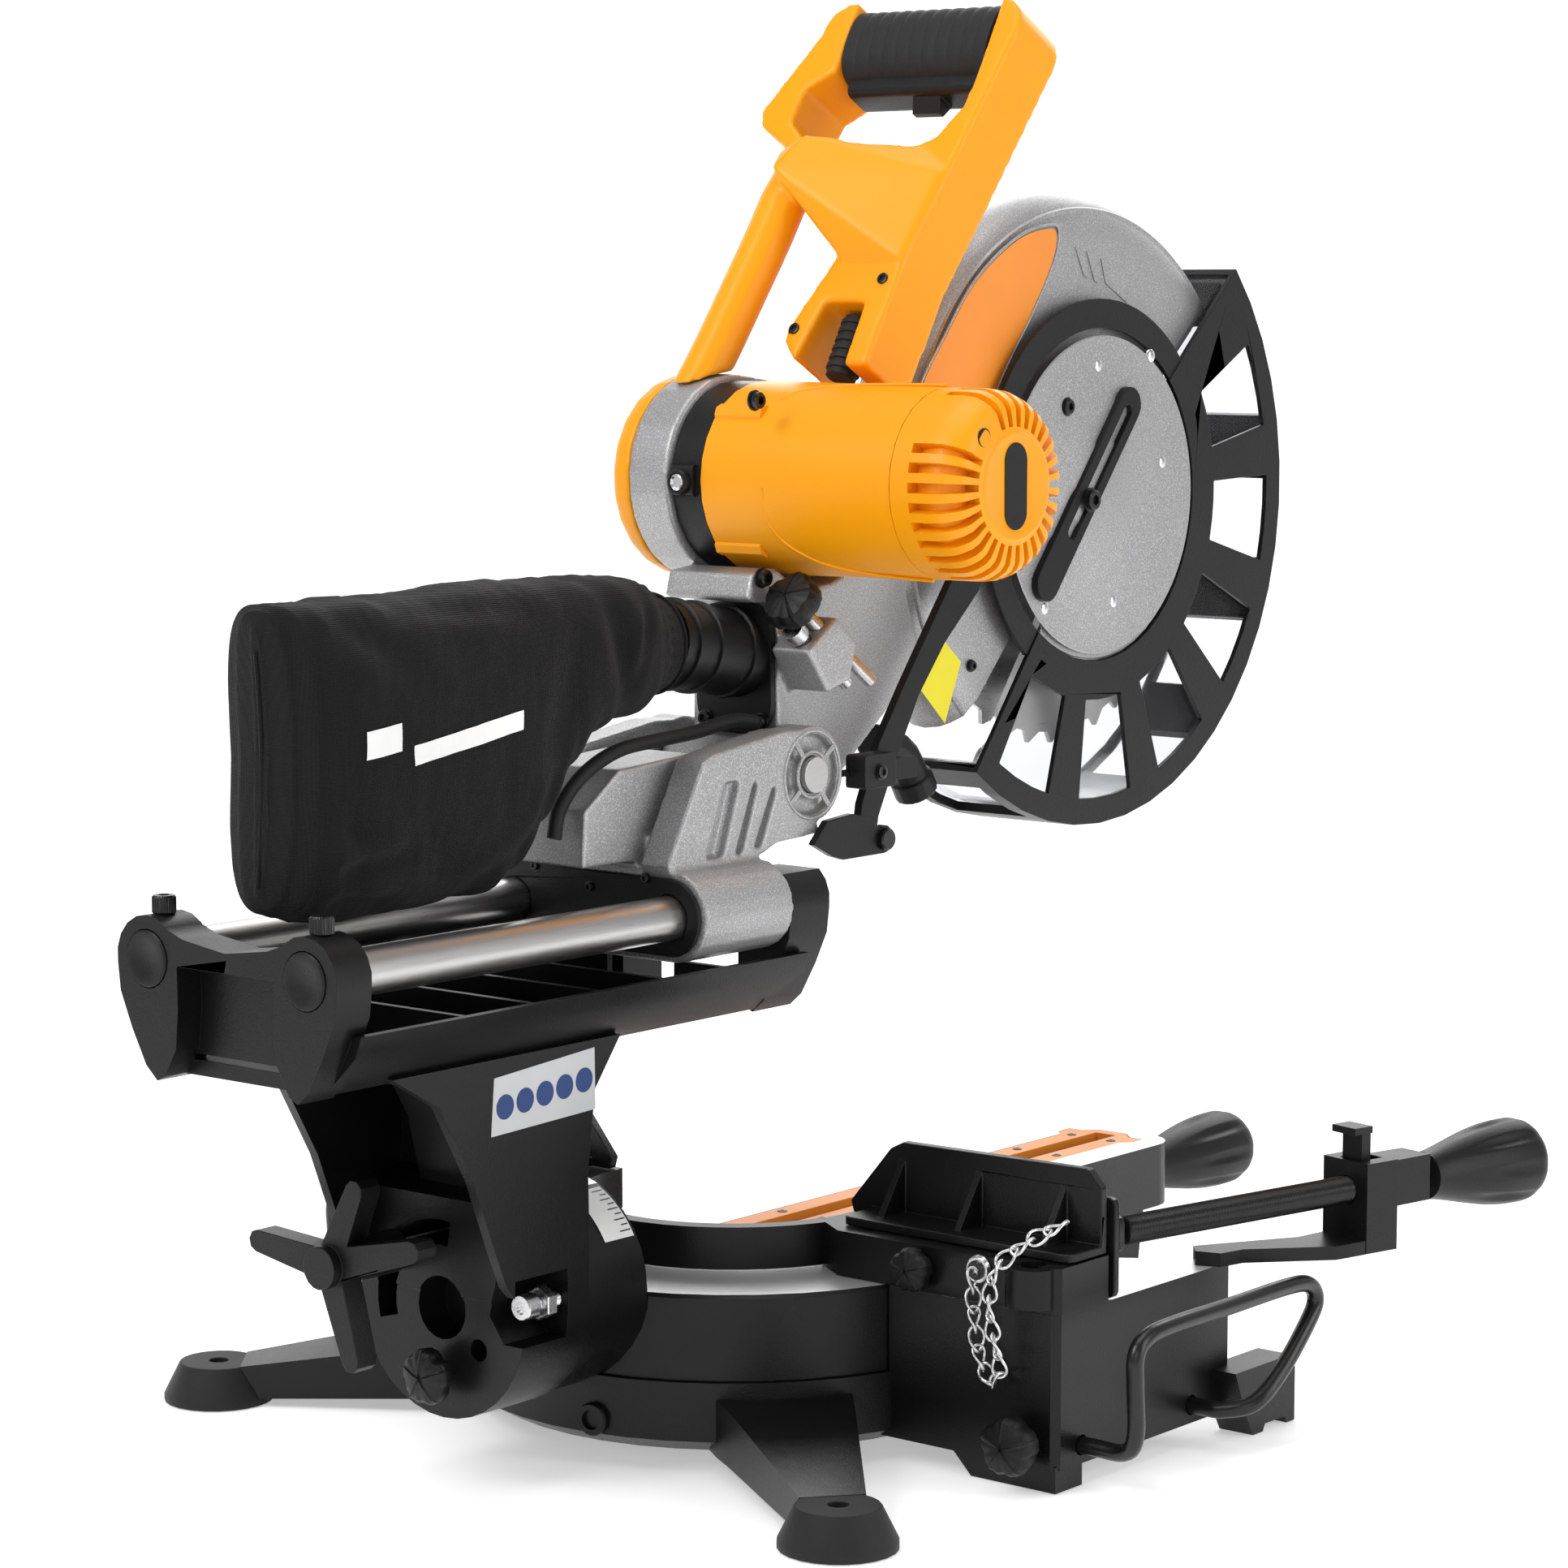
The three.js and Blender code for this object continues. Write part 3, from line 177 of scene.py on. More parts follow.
M = {
    "black_casting": material("black_casting", (0.0035, 0.0035, 0.0037), 0.33,
                              second=(0.0055, 0.0055, 0.0058),
                              grain=(900, 0.2), wear=(11, 0.05), spec=0.26),
    "silver_paint": material("silver_paint", (0.36, 0.36, 0.365), 0.42, 0.6, (0.31, 0.31, 0.315),
                             (1500, (0.66, 0.66, 0.67), 0.5, 0.72), (1300, 0.25)),
    "machined_silver": material("machined_silver", (0.80, 0.80, 0.80), 0.33, 0.6, (0.72, 0.72, 0.73),
                                grain=(420, 0.12), stretch=(1, 9, 1)),
    "yellow_plastic": material("yellow_plastic", (0.90, 0.345, 0.001), 0.38, 0, (0.87, 0.325, 0.001),
                               grain=(1500, 0.09), wear=(6, 0.05), spec=0.32),
    "orange_plastic": material("orange_plastic", (0.93, 0.30, 0.03), 0.45, 0, grain=(1200, 0.1)),
    "grip_plastic": material("grip_plastic", (0.006, 0.006, 0.0064), 0.42, grain=(1000, 0.3), spec=0.28),
    "rubber_dark": material("rubber_dark", (0.012, 0.012, 0.0125), 0.6, grain=(1500, 0.4), sheen=0.05,
                            spec=0.3),
    "bright_steel": material("bright_steel", (0.55, 0.54, 0.53), 0.31, 1.0, (0.52, 0.51, 0.50),
                             grain=(420, 0.05), stretch=(6, 0.12, 6), wear=(5, 0.02)),
    "plated_steel": material("plated_steel", (0.74, 0.74, 0.75), 0.27, 1.0, grain=(800, 0.08)),
    "black_wire": material("black_wire", (0.006, 0.006, 0.006), 0.30, grain=(300, 0.03), coat=0.2, spec=0.35),
    "clear_guard": material("clear_guard", (0.96, 0.97, 0.98), 0.07, 0, (0.93, 0.94, 0.96), grain=(60, 0.05),
                            wear=(20, 0.03), glass=1.0),
    "woven_bag": material("woven_bag", (0.0045, 0.0045, 0.0048), 0.88, 0, (0.0065, 0.0065, 0.007),
                          grain=(900, 0.5),
                          sheen=0.05, weave=330, spec=0.2),
    "blue_print": material("blue_print", (0.01, 0.045, 0.19), 0.5, grain=(900, 0.05)),
    "label_white": material("label_white", (0.86, 0.86, 0.85), 0.45, grain=(700, 0.05)),
    "label_silver": material("label_silver", (0.60, 0.61, 0.62), 0.35, 0.3, grain=(700, 0.05)),
    "label_yellow": material("label_yellow", (0.90, 0.78, 0.01), 0.45, grain=(700, 0.05)),
}

# ---------------------------------------------------------------- shaping helpers


def soften(ob, width, angle=34, weld=False):
    """Smooth shading with rounded edges: flat faces stay flat and sharp edges catch the light."""
    if "custom_normal" in ob.data.attributes:
        ob.data.attributes.remove(ob.data.attributes["custom_normal"])
    for p in ob.data.polygons:
        p.use_smooth = True
    if weld:
        w = ob.modifiers.new("weld", "WELD")
        w.merge_threshold = 2e-6
    if width:
        b = ob.modifiers.new("edge", "BEVEL")
        b.width = width / 1000
        b.segments = 2
        b.limit_method = "ANGLE"
        b.angle_limit = math.radians(angle)
        b.harden_normals = True
        b.miter_outer = "MITER_ARC"
    else:
        e = ob.modifiers.new("split", "EDGE_SPLIT")
        e.split_angle = math.radians(angle)


def piece(name, verts, faces, slot, body, edge=0, angle=34, hides=(), look=None, ride=True):
    """One visible mesh from saw frame millimetres."""
    me = bpy.data.meshes.new(name)
    me.from_pydata([S(*v) for v in verts], [], faces)
    me.validate()
    me.materials.append(M[look or slot])
    ob = bpy.data.objects.new(name, me)
    bpy.context.scene.collection.objects.link(ob)
    soften(ob, edge, angle)
    if ride:
        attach(ob, body)
    if hides:
        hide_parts(*hides)
    return ob


def basis(axis, up=(0, 0, 1)):
    """Two unit vectors square to axis: the first as near to up as it can be."""
    a = Vector(axis).normalized()
    u = Vector(up)
    if abs(a.dot(u)) > 0.98:
        u = Vector((0, 1, 0))
    u = (u - a * a.dot(u)).normalized()
    return a, u, a.cross(u)


def grid_faces(rows, cols, closed=True, start=0):
    out = []
    for i in range(rows - 1):
        for j in range(cols if closed else cols - 1):
            k = (j + 1) % cols
            out.append((start + i * cols + j, start + i * cols + k, start + (i + 1) * cols + k,
                        start + (i + 1) * cols + j))
    return out


def revolve(at, axis, profile, n, shape=None, up=(0, 0, 1), angles=None):
    """Verts and faces of a turned shape. profile is [(distance along axis, radius)], and
    shape(angle, index, t, r) -> (t, r) carves flutes, lobes and slots into it."""
    a, u, v = basis(axis, up)
    at = Vector(at)
    angles = angles or [2 * math.pi * k / n for k in range(n)]
    verts, n = [], len(angles)
    for i, (t, r) in enumerate(profile):
        for th in angles:
            t2, r2 = shape(th, i, t, r) if shape else (t, r)
            verts.append(at + a * t2 + (u * math.cos(th) + v * math.sin(th)) * r2)
    faces = [tuple(reversed(f)) for f in grid_faces(len(profile), n)]
    for i, rev in ((0, True), (len(profile) - 1, False)):
        ring = list(range(i * n, i * n + n))
        faces.append(tuple(reversed(ring)) if not rev else tuple(ring))
    return verts, [tuple(reversed(f)) for f in faces]


def smooth_path(points, steps):
    """A Catmull-Rom line through the points."""
    P = [Vector(p) for p in points]
    P = [2 * P[0] - P[1]] + P + [2 * P[-1] - P[-2]]
    out = []
    for i in range(1, len(P) - 2):
        for s in range(steps):
            t = s / steps
            a, b, c, d = P[i - 1], P[i], P[i + 1], P[i + 2]
            cubic = (3 * b - a - 3 * c + d) * t ** 3
            out.append(0.5 * (2 * b + (c - a) * t + (2 * a - 5 * b + 4 * c - d) * t * t + cubic))
    return out + [P[-2]]


def sweep(path, radius, n=14):
    """A tube along a path of Vectors with capped ends. radius may be a function of 0..1."""
    verts = []
    prev = None
    for i, p in enumerate(path):
        d = (path[min(i + 1, len(path) - 1)] - path[max(i - 1, 0)]).normalized()
        if prev is None:
            u = basis(d)[1]
        else:
            u = (prev - d * d.dot(prev)).normalized()
        prev = u
        v = d.cross(u)
        r = radius(i / (len(path) - 1)) if callable(radius) else radius
        for k in range(n):
            th = 2 * math.pi * k / n
            verts.append(p + (u * math.cos(th) + v * math.sin(th)) * r)
    faces = grid_faces(len(path), n)
    faces.append(tuple(reversed(range(n))))
    faces.append(tuple(range((len(path) - 1) * n, len(path) * n)))
    return verts, faces


def plate(outline, frame3, depth, out=0.0):
    """A thin plate: outline points (a, b) laid in the plane at, u, v, and raised by depth along u x v."""
    at, u, v = (Vector(k) for k in frame3)
    w = u.cross(v).normalized()
    n = len(outline)
    verts = [at + u * a + v * b + w * out for a, b in outline]
    verts += [p + w * depth for p in verts]
    faces = [tuple(reversed(range(n))), tuple(range(n, 2 * n))]
    faces += [(k, (k + 1) % n, n + (k + 1) % n, n + k) for k in range(n)]
    return verts, faces


def join(*parts):
    verts, faces = [], []
    for v, f in parts:
        k = len(verts)
        verts += list(v)
        faces += [tuple(i + k for i in q) for q in f]
    return verts, faces


# ---------------------------------------------------------------- CAD nodes that stay in view

EDGE = {
    "base_casting": 1.6, "turntable_casting": 1.2, "bevel_column": 1.6, "handle_frame": 5.0,
    "carriage_casting": 1.6,
    "arm_casting": 1.8, "upper_guard": 4.0, "motor_housing": 1.4, "motor_spacer": 1.0, "belt_cover": 5.0,
    "guard_frame": 0.9, "kerf_insert": 0.4, "saw_blade": 0.2, "fence_left": 1.0, "fence_right": 1.0,
    "guard_shell": 0, "slotted_lever": 0.8, "bevel_lever": 2.2, "trigger": 2.0,
}
# Faces left bright by machining, on castings that are black elsewhere.
FACED = {
    "turntable_casting": lambda n, c: n.z > 0.9 and c.z > 94.5,
    "base_casting": lambda n, c: n.z > 0.9 and c.z > 94.5,
    "fence_left": lambda n, c: n.y < -0.9 and c.y < 0.6,
    "fence_right": lambda n, c: n.y < -0.9 and c.y < 0.6,
}
# Nodes whose corners are melted into moulded or cast fillets: (voxel mm, smoothing passes).
CAST = {"handle_frame": (1.5, 16), "arm_casting": (1.5, 5), "carriage_casting": (1.3, 4),
        "belt_cover": (1.5, 10),
        "laser_unit": (0.8, 4), "switch_boot": (0.8, 3)}


def soft_cast(ob, voxel, passes):
    w = ob.modifiers.new("weld", "WELD")
    w.merge_threshold = 2e-6
    r = ob.modifiers.new("skin", "REMESH")
    r.mode, r.voxel_size, r.use_smooth_shade = "VOXEL", voxel / 1000, True
    m = ob.modifiers.new("fillet", "SMOOTH")
    m.factor, m.iterations = 0.5, passes


for name, ob in NODES.items():
    slot = ob.data.materials[0].name.split(".")[0]
    slot = "black_casting" if name in FACED else slot
    ob.data.materials.clear()
    ob.data.materials.append(M[slot])
    if name in FACED:
        ob.data.materials.append(M["machined_silver"])
        for p in ob.data.polygons:
            if FACED[name](p.normal, (p.center - ORIGIN) * 1000):
                p.material_index = 1
    if name in CAST:
        soft_cast(ob, *CAST[name])
    else:
        soften(ob, EDGE.get(name, 0.8), 34, weld=True)

# ---------------------------------------------------------------- pieces


def lay(points, x):
    """Linear interpolation in a table of rows sorted by their first number."""
    for a, b in zip(points, points[1:]):
        if x <= b[0]:
            t = max(0.0, (x - a[0]) / (b[0] - a[0]))
            t = t * t * (3 - 2 * t)
            return [p + (q - p) * t for p, q in zip(a[1:], b[1:])]
    return list(points[-1][1:])


# The woven dust bag: a slack shell, narrow at the rear seam and gathered on the chute.
BAG = [(70.8, 460, 408, 25.6), (76, 461, 407, 26), (83, 463, 406, 27), (92, 470, 401, 32),
       (106, 473, 397, 37),
       (130, 473, 396, 40), (150, 472, 390, 41), (172, 473, 372, 43), (190, 473, 346, 44),
       (208, 473, 324, 45),
       (228, 473, 314.5, 45), (275, 472, 313, 44), (320, 471, 313.5, 43), (344, 472, 314, 39),
       (356, 472, 316, 32),
       (363, 469, 320, 20), (366, 460, 328, 4)]
CREASES = [(352, 338, 300, 344, 6, 3.0), (350, 326, 306, 322, 5, 2.2), (356, 372, 322, 352, 8, 2.0),
           (150, 466, 128, 402, 9, 3.2), (176, 462, 196, 360, 12, 1.8), (124, 420, 112, 462, 5, 2.0),
           (340, 466, 300, 440, 9, 1.6), (240, 322, 300, 352, 12, 1.8), (300, 468, 200, 462, 6, 1.4),
           (208, 340, 250, 318, 7, 2.0), (186, 380, 214, 330, 6, 1.8), (345, 452, 350, 400, 7, 1.4)]


BAG_FLOOR = 312.2  # the bag stays this high, clear of the rails


def crease(y, z, side):
    """How far the creases press in or lift that place of a panel; side tells the two panels apart."""
    d = 0.0
    for k, (ya, za, yb, zb, w, depth) in enumerate(CREASES):
        if side > 0:
            ya, yb = ya - 9 + 3 * (k % 5), yb + 7 - 4 * (k % 4)
        ax, az = yb - ya, zb - za
        t = max(0.0, min(1.0, ((y - ya) * ax + (z - za) * az) / (ax * ax + az * az)))
        gap = math.hypot(y - ya - t * ax, z - za - t * az)
        fade = math.sin(math.pi * min(1, max(0, 0.08 + 0.84 * t)))
        d -= 1.5 * depth * fade * (math.exp(-(gap / w) ** 2) - 0.45 * math.exp(-((gap - 1.7 * w) / w) ** 2))
    return d


def wrinkle(x, y, z, side):
    """The cloth's slack at a point: soft noise of three sizes and the creases."""
    big = noise.noise(Vector((x * 0.012, y * 0.014, z * 0.018 + 3)))
    mid = noise.noise(Vector((x * 0.03, y * 0.045 + 7, z * 0.05)))
    fine = abs(noise.noise(Vector((x * 0.08, y * 0.10, z * 0.07 + y * 0.05))))
    return 2.6 * big + 1.3 * mid - 0.9 * fine + crease(y, z, side)


def bag():
    rows, cols, verts = 150, 128, []
    for i in range(rows):
        t = i / (rows - 1)
        y = 70.8 + (366 - 70.8) * (1 - (1 - t) ** 1.35)
        top, low, w = lay(BAG, y)
        zc, h = (top + low) / 2, (top - low) / 2
        power = 2.0 if y < 84 else 2.0 + min(1.5, (y - 84) * 0.03)
        for k in range(cols):
            th = 2 * math.pi * k / cols
            c, s = math.cos(th), math.sin(th)
            x = w * math.copysign(abs(c) ** (2 / power), c)
            z = zc + h * math.copysign(abs(s) ** (2 / power), s)
            n = Vector((c * h, 0, s * w)).normalized()
            loose = min(1.0, max(0.0, (y - 84) / 40)) * min(1.0, (372 - y) / 30)
            d = loose * wrinkle(x, y, z, c)
            seam = (math.exp(-((abs(th - math.pi / 2)) / 0.03) ** 2)
                    + math.exp(-((abs(th - 1.5 * math.pi)) / 0.03) ** 2))
            d += 1.0 * seam * loose
            if y < 100:
                d += 0.7 * math.sin(th * 26) * min(1, (y - 70) / 10) * max(0, 1 - abs(y - 86) / 14)
            pull = 5.5 * math.sin((z - 318) / 150 * math.pi) * max(0.0, (y - 330) / 36) if y > 330 else 0.0
            verts.append((x + n.x * d, y - pull, max(BAG_FLOOR, z + n.z * d)))
    faces = grid_faces(rows, cols)
    faces += [tuple(range(cols)), tuple(reversed(range((rows - 1) * cols, rows * cols)))]
    piece("dust_bag_cloth", verts, faces, "woven_bag", "head", angle=75, hides=["dust_bag"])
    hem = [Vector((25.9 * math.cos(t), 71.6,
                   434 + 27.2 * math.sin(t))) for t in [2 * math.pi * k / 60 for k in range(61)]]
    v, f = sweep(hem, 1.1, 8)
    piece("dust_bag_hem", v, f, "woven_bag", "head", angle=60)
    zip_line = [Vector((0, 366.3 - 5.5 * math.sin((z - 318) / 150 * math.pi), z)) for z in range(332, 458, 9)]
    v, f = sweep(smooth_path(zip_line, 4), 1.3, 8)
    piece("dust_bag_rear_seam", v, f, "woven_bag", "head", angle=60)


bag()


def bag_skin(y, z, out):
    """The point on the bag's left panel at that place along and up it."""
    top, low, w = lay(BAG, y)
    zc, h = (top + low) / 2, (top - low) / 2
    power = 2.0 + min(1.5, (y - 84) * 0.03)
    s = math.copysign(min(1.0, abs((z - zc) / h)) ** (power / 2), z - zc)
    c = -math.sqrt(max(0.0, 1 - s * s))
    x = w * math.copysign(abs(c) ** (2 / power), c)
    n = Vector((c * h, 0, s * w)).normalized()
    loose = min(1.0, (372 - y) / 30)
    d = loose * wrinkle(x, y, z, c) + out
    return x + n.x * d, y, z + n.z * d


def bag_print():
    """Two plain pale bars printed on the panel."""
    parts = []
    for y0, y1, z0, z1, rise in ((222, 300, 402, 412, -12), (308, 330, 398, 412, -3)):
        cols, rows = 60, 10
        grid = [bag_skin(y0 + (y1 - y0) * i / cols, z0 + (z1 - z0) * j / rows + rise * i / cols, 0.5)
                for j in range(rows + 1) for i in range(cols + 1)]
        parts.append((grid, grid_faces(rows + 1, cols + 1, closed=False)))
    v, f = join(*parts)
    piece("bag_print", v, f, "woven_bag", "head", angle=60, look="label_white")


bag_print()

# Turned pieces: rails, plugs, screws and knobs.


def turned(name, at, axis, profile, n, slot, body, shape=None, edge=0, angle=34, hides=(), look=None,
           up=(0, 0, 1)):
    v, f = revolve(at, axis, profile, n, shape, up)
    return piece(name, v, f, slot, body, edge, angle, hides, look)


for side, x in (("left", -56), ("right", 56)):
    turned(f"rail_rod_{side}", (x, 12.6, 294), (0, 1, 0), [(0, 11.2), (0.8, 12), (370.3, 12), (371, 11.2)],
           64,
           "bright_steel", "bevel_arm", hides=[f"rail_{side}"])
    turned(f"rail_end_plug_{side}", (x, 384, 294), (0, 1, 0),
           [(0, 14.4), (4.4, 14.4), (5.3, 13.4), (5.3, 9), (4.9, 8.4), (4.9, 0.02)],
           48, "grip_plastic", "bevel_arm", hides=[f"rail_plug_{side}"])
    cap = [(0, 3.6), (8.2, 3.6), (8.2, 5.4), (9, 6), (16.6, 6), (17.6, 5.3), (17.6, 3.1), (13.5, 2.9),
           (13.5, 0.02)]
    knurl = lambda th, i, t, r: (t, r * (1 + 0.025 * math.cos(30 * th)) if i in (3, 4) else r)
    turned(f"rail_set_screw_{side}", (x, 376, 307.2), (0, 0, 1), cap, 120, "black_wire", "bevel_arm", knurl,
           hides=[f"set_screw_{side}"])


def screws(name, body, slot, items):
    """Socket head screws: (head centre on the face, outward axis, head radius, head height)."""
    parts = []
    for at, axis, r, h in items:
        prof = [(-0.2, r * 1.25), (h * 0.18, r * 1.25), (h * 0.2, r), (h * 0.85, r), (h, r * 0.86),
                (h, r * 0.5),
                (h * 0.45, r * 0.46), (h * 0.45, 0.02)]
        cross = lambda th, i, t, r2: (t, r2 * (1 + 0.10 * math.cos(6 * th)) if i in (5, 6) else r2)
        parts.append(revolve(at, axis, prof, 36, cross))
    v, f = join(*parts)
    piece(name, v, f, slot, body, angle=30)


def knob(name, at, axis, r, h, body, hides=(), stem=0, up=(0, 0, 1)):
    """A five-lobed moulded knob with a creased face."""
    prof = [(-stem, r * 0.42), (0, r * 0.42), (0.4, r * 0.80), (h * 0.22, r * 0.96), (h * 0.55, r),
            (h * 0.72, r * 0.97),
            (h * 0.86, r * 0.86), (h * 0.94, r * 0.62), (h, r * 0.30), (h, 0.03)]

    def lobes(th, i, t, r2):
        if i < 2:
            return t, r2
        wave = math.cos(5 * th)
        bite = max(0.0, -wave) ** 2
        groove = math.exp(-(((th * 5 / (2 * math.pi) + 0.5) % 1 - 0.5) / 0.045) ** 2)
        face = 1.0 if i >= 6 else 0.4
        return (t + (0.9 * groove * face if i >= 5 else 0),
                r2 * (1 - 0.10 * bite) + (0.4 * groove if 3 <= i < 7 else 0))

    turned(name, at, axis, prof, 180, "grip_plastic", body, lobes, angle=32, hides=hides, up=up)


for side, sx in (("left", -1), ("right", 1)):
    knob(f"fence_lock_{side}", (sx * 166, 46.3, 108), (0, 1, 0), 12, 12, f"fence_lock_{side}",
         [f"fence_knob_{side}"])
    knob(f"bail_lock_{side}", (sx * 237, 51.3, 26), (0, 1, 0), 16, 17.5, f"bail_lock_{side}",
         [f"bail_knob_{side}"])
knob("detent_pull", (-2, 245, 63), (0, 1, 0), 15, 13, "bevel_detent", ["bevel_detent_knob"], stem=2.7)
AX = Vector((0, -0.819, -0.573))
TOP = Vector((-46, 12, 459.7))
thread = [(15 + 0.625 * k, 4.1 if k % 2 else 3.5) for k in range(124)]
turned("depth_stop_thread", TOP, AX, thread + [(92.4, 2.6)], 28, "plated_steel", "depth_stop", angle=80)
knob("depth_stop_knob", TOP + AX * 15.6, -AX, 17, 15.6, "depth_stop", ["depth_bolt"])


def grip(name, at, axis, start, length, r, body, hides=(), up=(0, 0, 1)):
    """A barrel handle with long scalloped flats."""
    rows, prof = 44, []
    for k in range(rows + 1):
        t = k / rows
        swell = 0.56 + 0.44 * math.sin(min(1.0, t * 1.32) * math.pi / 2) ** 1.4
        end = 1.0 if t < 0.80 else math.sqrt(max(0.0, 1 - ((t - 0.80) / 0.2) ** 2.6))
        prof.append((start + length * t, max(0.05, r * swell * end)))

    def flutes(th, i, t, r2):
        u = i / rows
        lens = math.exp(-((u - 0.60) / 0.20) ** 2)
        return t, r2 * (1 - 0.10 * lens * max(0.0, math.cos(8 * th)) ** 1.3)

    turned(name, at, axis, prof, 128, "grip_plastic", body, flutes, angle=60, hides=hides, up=up)


grip("mitre_handle", (0, -406, 66), (0, -1, 0), 0, 106.5, 24, "mitre_lock", ["mitre_grip"])
turned("mitre_handle_stem", (0, -380.5, 66), (0, -1, 0), [(0, 8.6), (27, 8.6)], 32, "grip_plastic",
       "mitre_lock")
CD = Vector((-0.222, -0.975, 0)).normalized()
CAT = Vector((-251, -14, 129))
grip("clamp_handle", CAT, CD, 234, 88, 24.3, "clamp_spindle", ["clamp_screw"])
pitch = [(4.6 + 1.05 * k, 7.9 if k % 2 else 6.9) for k in range(212)]
turned("clamp_spindle_thread", CAT, CD, pitch, 36, "black_wire", "clamp_spindle", angle=80)

# The motor.
N_SLOT = 30


def motor_cap():
    prof = [(0, 52.2), (1.2, 52.2), (12, 52.2), (12.4, 52.2), (24, 52.2), (31, 51.4), (36, 49.4), (41, 46),
            (43.5, 42),
            (44.2, 36), (44.5, 32.5), (44.6, 32), (44.9, 30), (46, 28.6), (46, 27), (45.2, 25.5),
            (45.2, 0.05)]
    hole = math.radians(45)
    angles, kinds = [], []
    for k in range(N_SLOT):
        a = 2 * math.pi * k / N_SLOT
        s = 2 * math.pi / N_SLOT
        shut = abs((a + s / 2 - hole + math.pi) % (2 * math.pi) - math.pi) < 0.34
        for frac, inside in ((0, 0), (0.24, 0), (0.25, 1), (0.5, 1), (0.75, 1), (0.76, 0)):
            angles.append(a + frac * s)
            kinds.append(0 if shut else inside)
    lookup = {round(a, 6): k for a, k in zip(angles, kinds)}

    def slots(th, i, t, r):
        if lookup[round(th, 6)] and 3 <= i <= 10:
            deep = 8.0
            tilt = min(1.0, max(0.0, (t - 14) / 26))
            return t - deep * tilt, r - (deep if i < 8 else deep * 0.5) * (1 - 0.75 * tilt)
        return t, r

    v, f = revolve((-118.4, -40, 520), (-1, 0, 0), prof, 0, slots, (0, 0, 1), angles)
    piece("motor_vent_cap", v, f, "yellow_plastic", "head", angle=32, hides=["motor_end_cap"])


motor_cap()
oval = [(10 * math.cos(a), 10 * math.sin(a) + (13.5 if math.sin(a) >= 0 else -13.5))
        for a in [math.pi * k / 16 for k in range(32)]]
v, f = plate(oval, ((-163.7, -40, 520), (0, -1, 0), (0, 0, 1)), 0.5)
piece("motor_badge", v, f, "grip_plastic", "head", edge=0.2)
turned("motor_cap_hole", (-161.9, -13.5, 546.5), (-1, 0, 0.0),
       [(0, 5.2), (0.5, 5.4), (0.9, 5.0), (0.2, 4.6), (0.2, 0.02)], 32,
       "grip_plastic", "head")
screws("motor_screws", "head", "black_wire",
       [((-31, 20, 565), (-1, 0, 0), 4.6, 5), ((-31, 14, 468), (-1, 0, 0), 4.6, 5)])
screws("arm_screws", "head", "black_wire", [((-27.2, -183, 406), (-1, 0, 0), 3, 2.5)])
turned("brush_cap", (24, 17.6, 519), (0, 1, 0),
       [(0, 7.2), (3, 7.2), (4, 6.4), (4, 5.2), (2.6, 5), (2.6, 0.03)], 40,
       "grip_plastic", "head")
turned("brush_cap_insert", (24, 20.3, 519), (0, 1, 0),
       [(0, 4.6), (1.2, 4.6), (1.6, 4), (0.6, 3), (0.6, 0.03)], 32,
       "plated_steel", "head")

# The upper guard: a rounded, painted cover with a recessed blank decal.


def upper_cover():
    verts = []
    prof = [(62, -26.6), (150, -26.6), (158, -26.4), (166, -25), (173, -21.6), (178, -16.5), (181.4, -10),
            (183, 0)]
    prof += [(r, -x) for r, x in reversed(prof[:-1])]
    prof += [(62, 23.4), (172, 23.4), (179, 8), (179, -8), (172, -23.4), (62, -23.4)]
    steps = 96
    for k in range(steps + 1):
        a = math.radians(-46.9 + (139.9 + 46.9) * k / steps)
        for r, x in prof:
            verts.append((x, -299 + r * math.cos(a), 502 + r * math.sin(a)))
    n = len(prof)
    faces = grid_faces(steps + 1, n) + [tuple(range(n)), tuple(reversed(range(steps * n, (steps + 1) * n)))]
    piece("upper_guard_cover", verts, faces, "silver_paint", "head", angle=40, hides=["upper_guard"])


upper_cover()
decal = [(-133, 560), (-138, 574), (-156, 596), (-187, 630), (-227, 654), (-258, 661), (-266, 657),
         (-261, 640), (-240, 610),
         (-222, 588), (-206, 566), (-203, 556)]
line = smooth_path([(-26.7, y, z) for y, z in decal + decal[:1]], 6)
v, f = plate([(p.y, p.z) for p in line[:-1]], ((-26.65, 0, 0), (0, 1, 0), (0, 0, 1)), -0.35)
piece("guard_decal", v, f, "orange_plastic", "head")
c = Vector((-26.7, -205, 608))
rim = [c + (p - c) * 1.045 for p in line]
v, f = sweep(rim, 0.9, 8)
piece("guard_decal_rim", v, f, "silver_paint", "head", angle=60)
marks = []
for quad in ([(-285, 651), (-294, 634), (-298, 632), (-288, 650)],
             [(-297, 648), (-305, 631), (-309, 629), (-300, 647)],
             [(-312, 644), (-317, 629), (-340, 617), (-334, 633)]):
    marks.append(plate(quad, ((-26.65, 0, 0), (0, 1, 0), (0, 0, 1)), -0.7))
v, f = join(*marks)
piece("guard_mould_marks", v, f, "silver_paint", "head", edge=0.2)

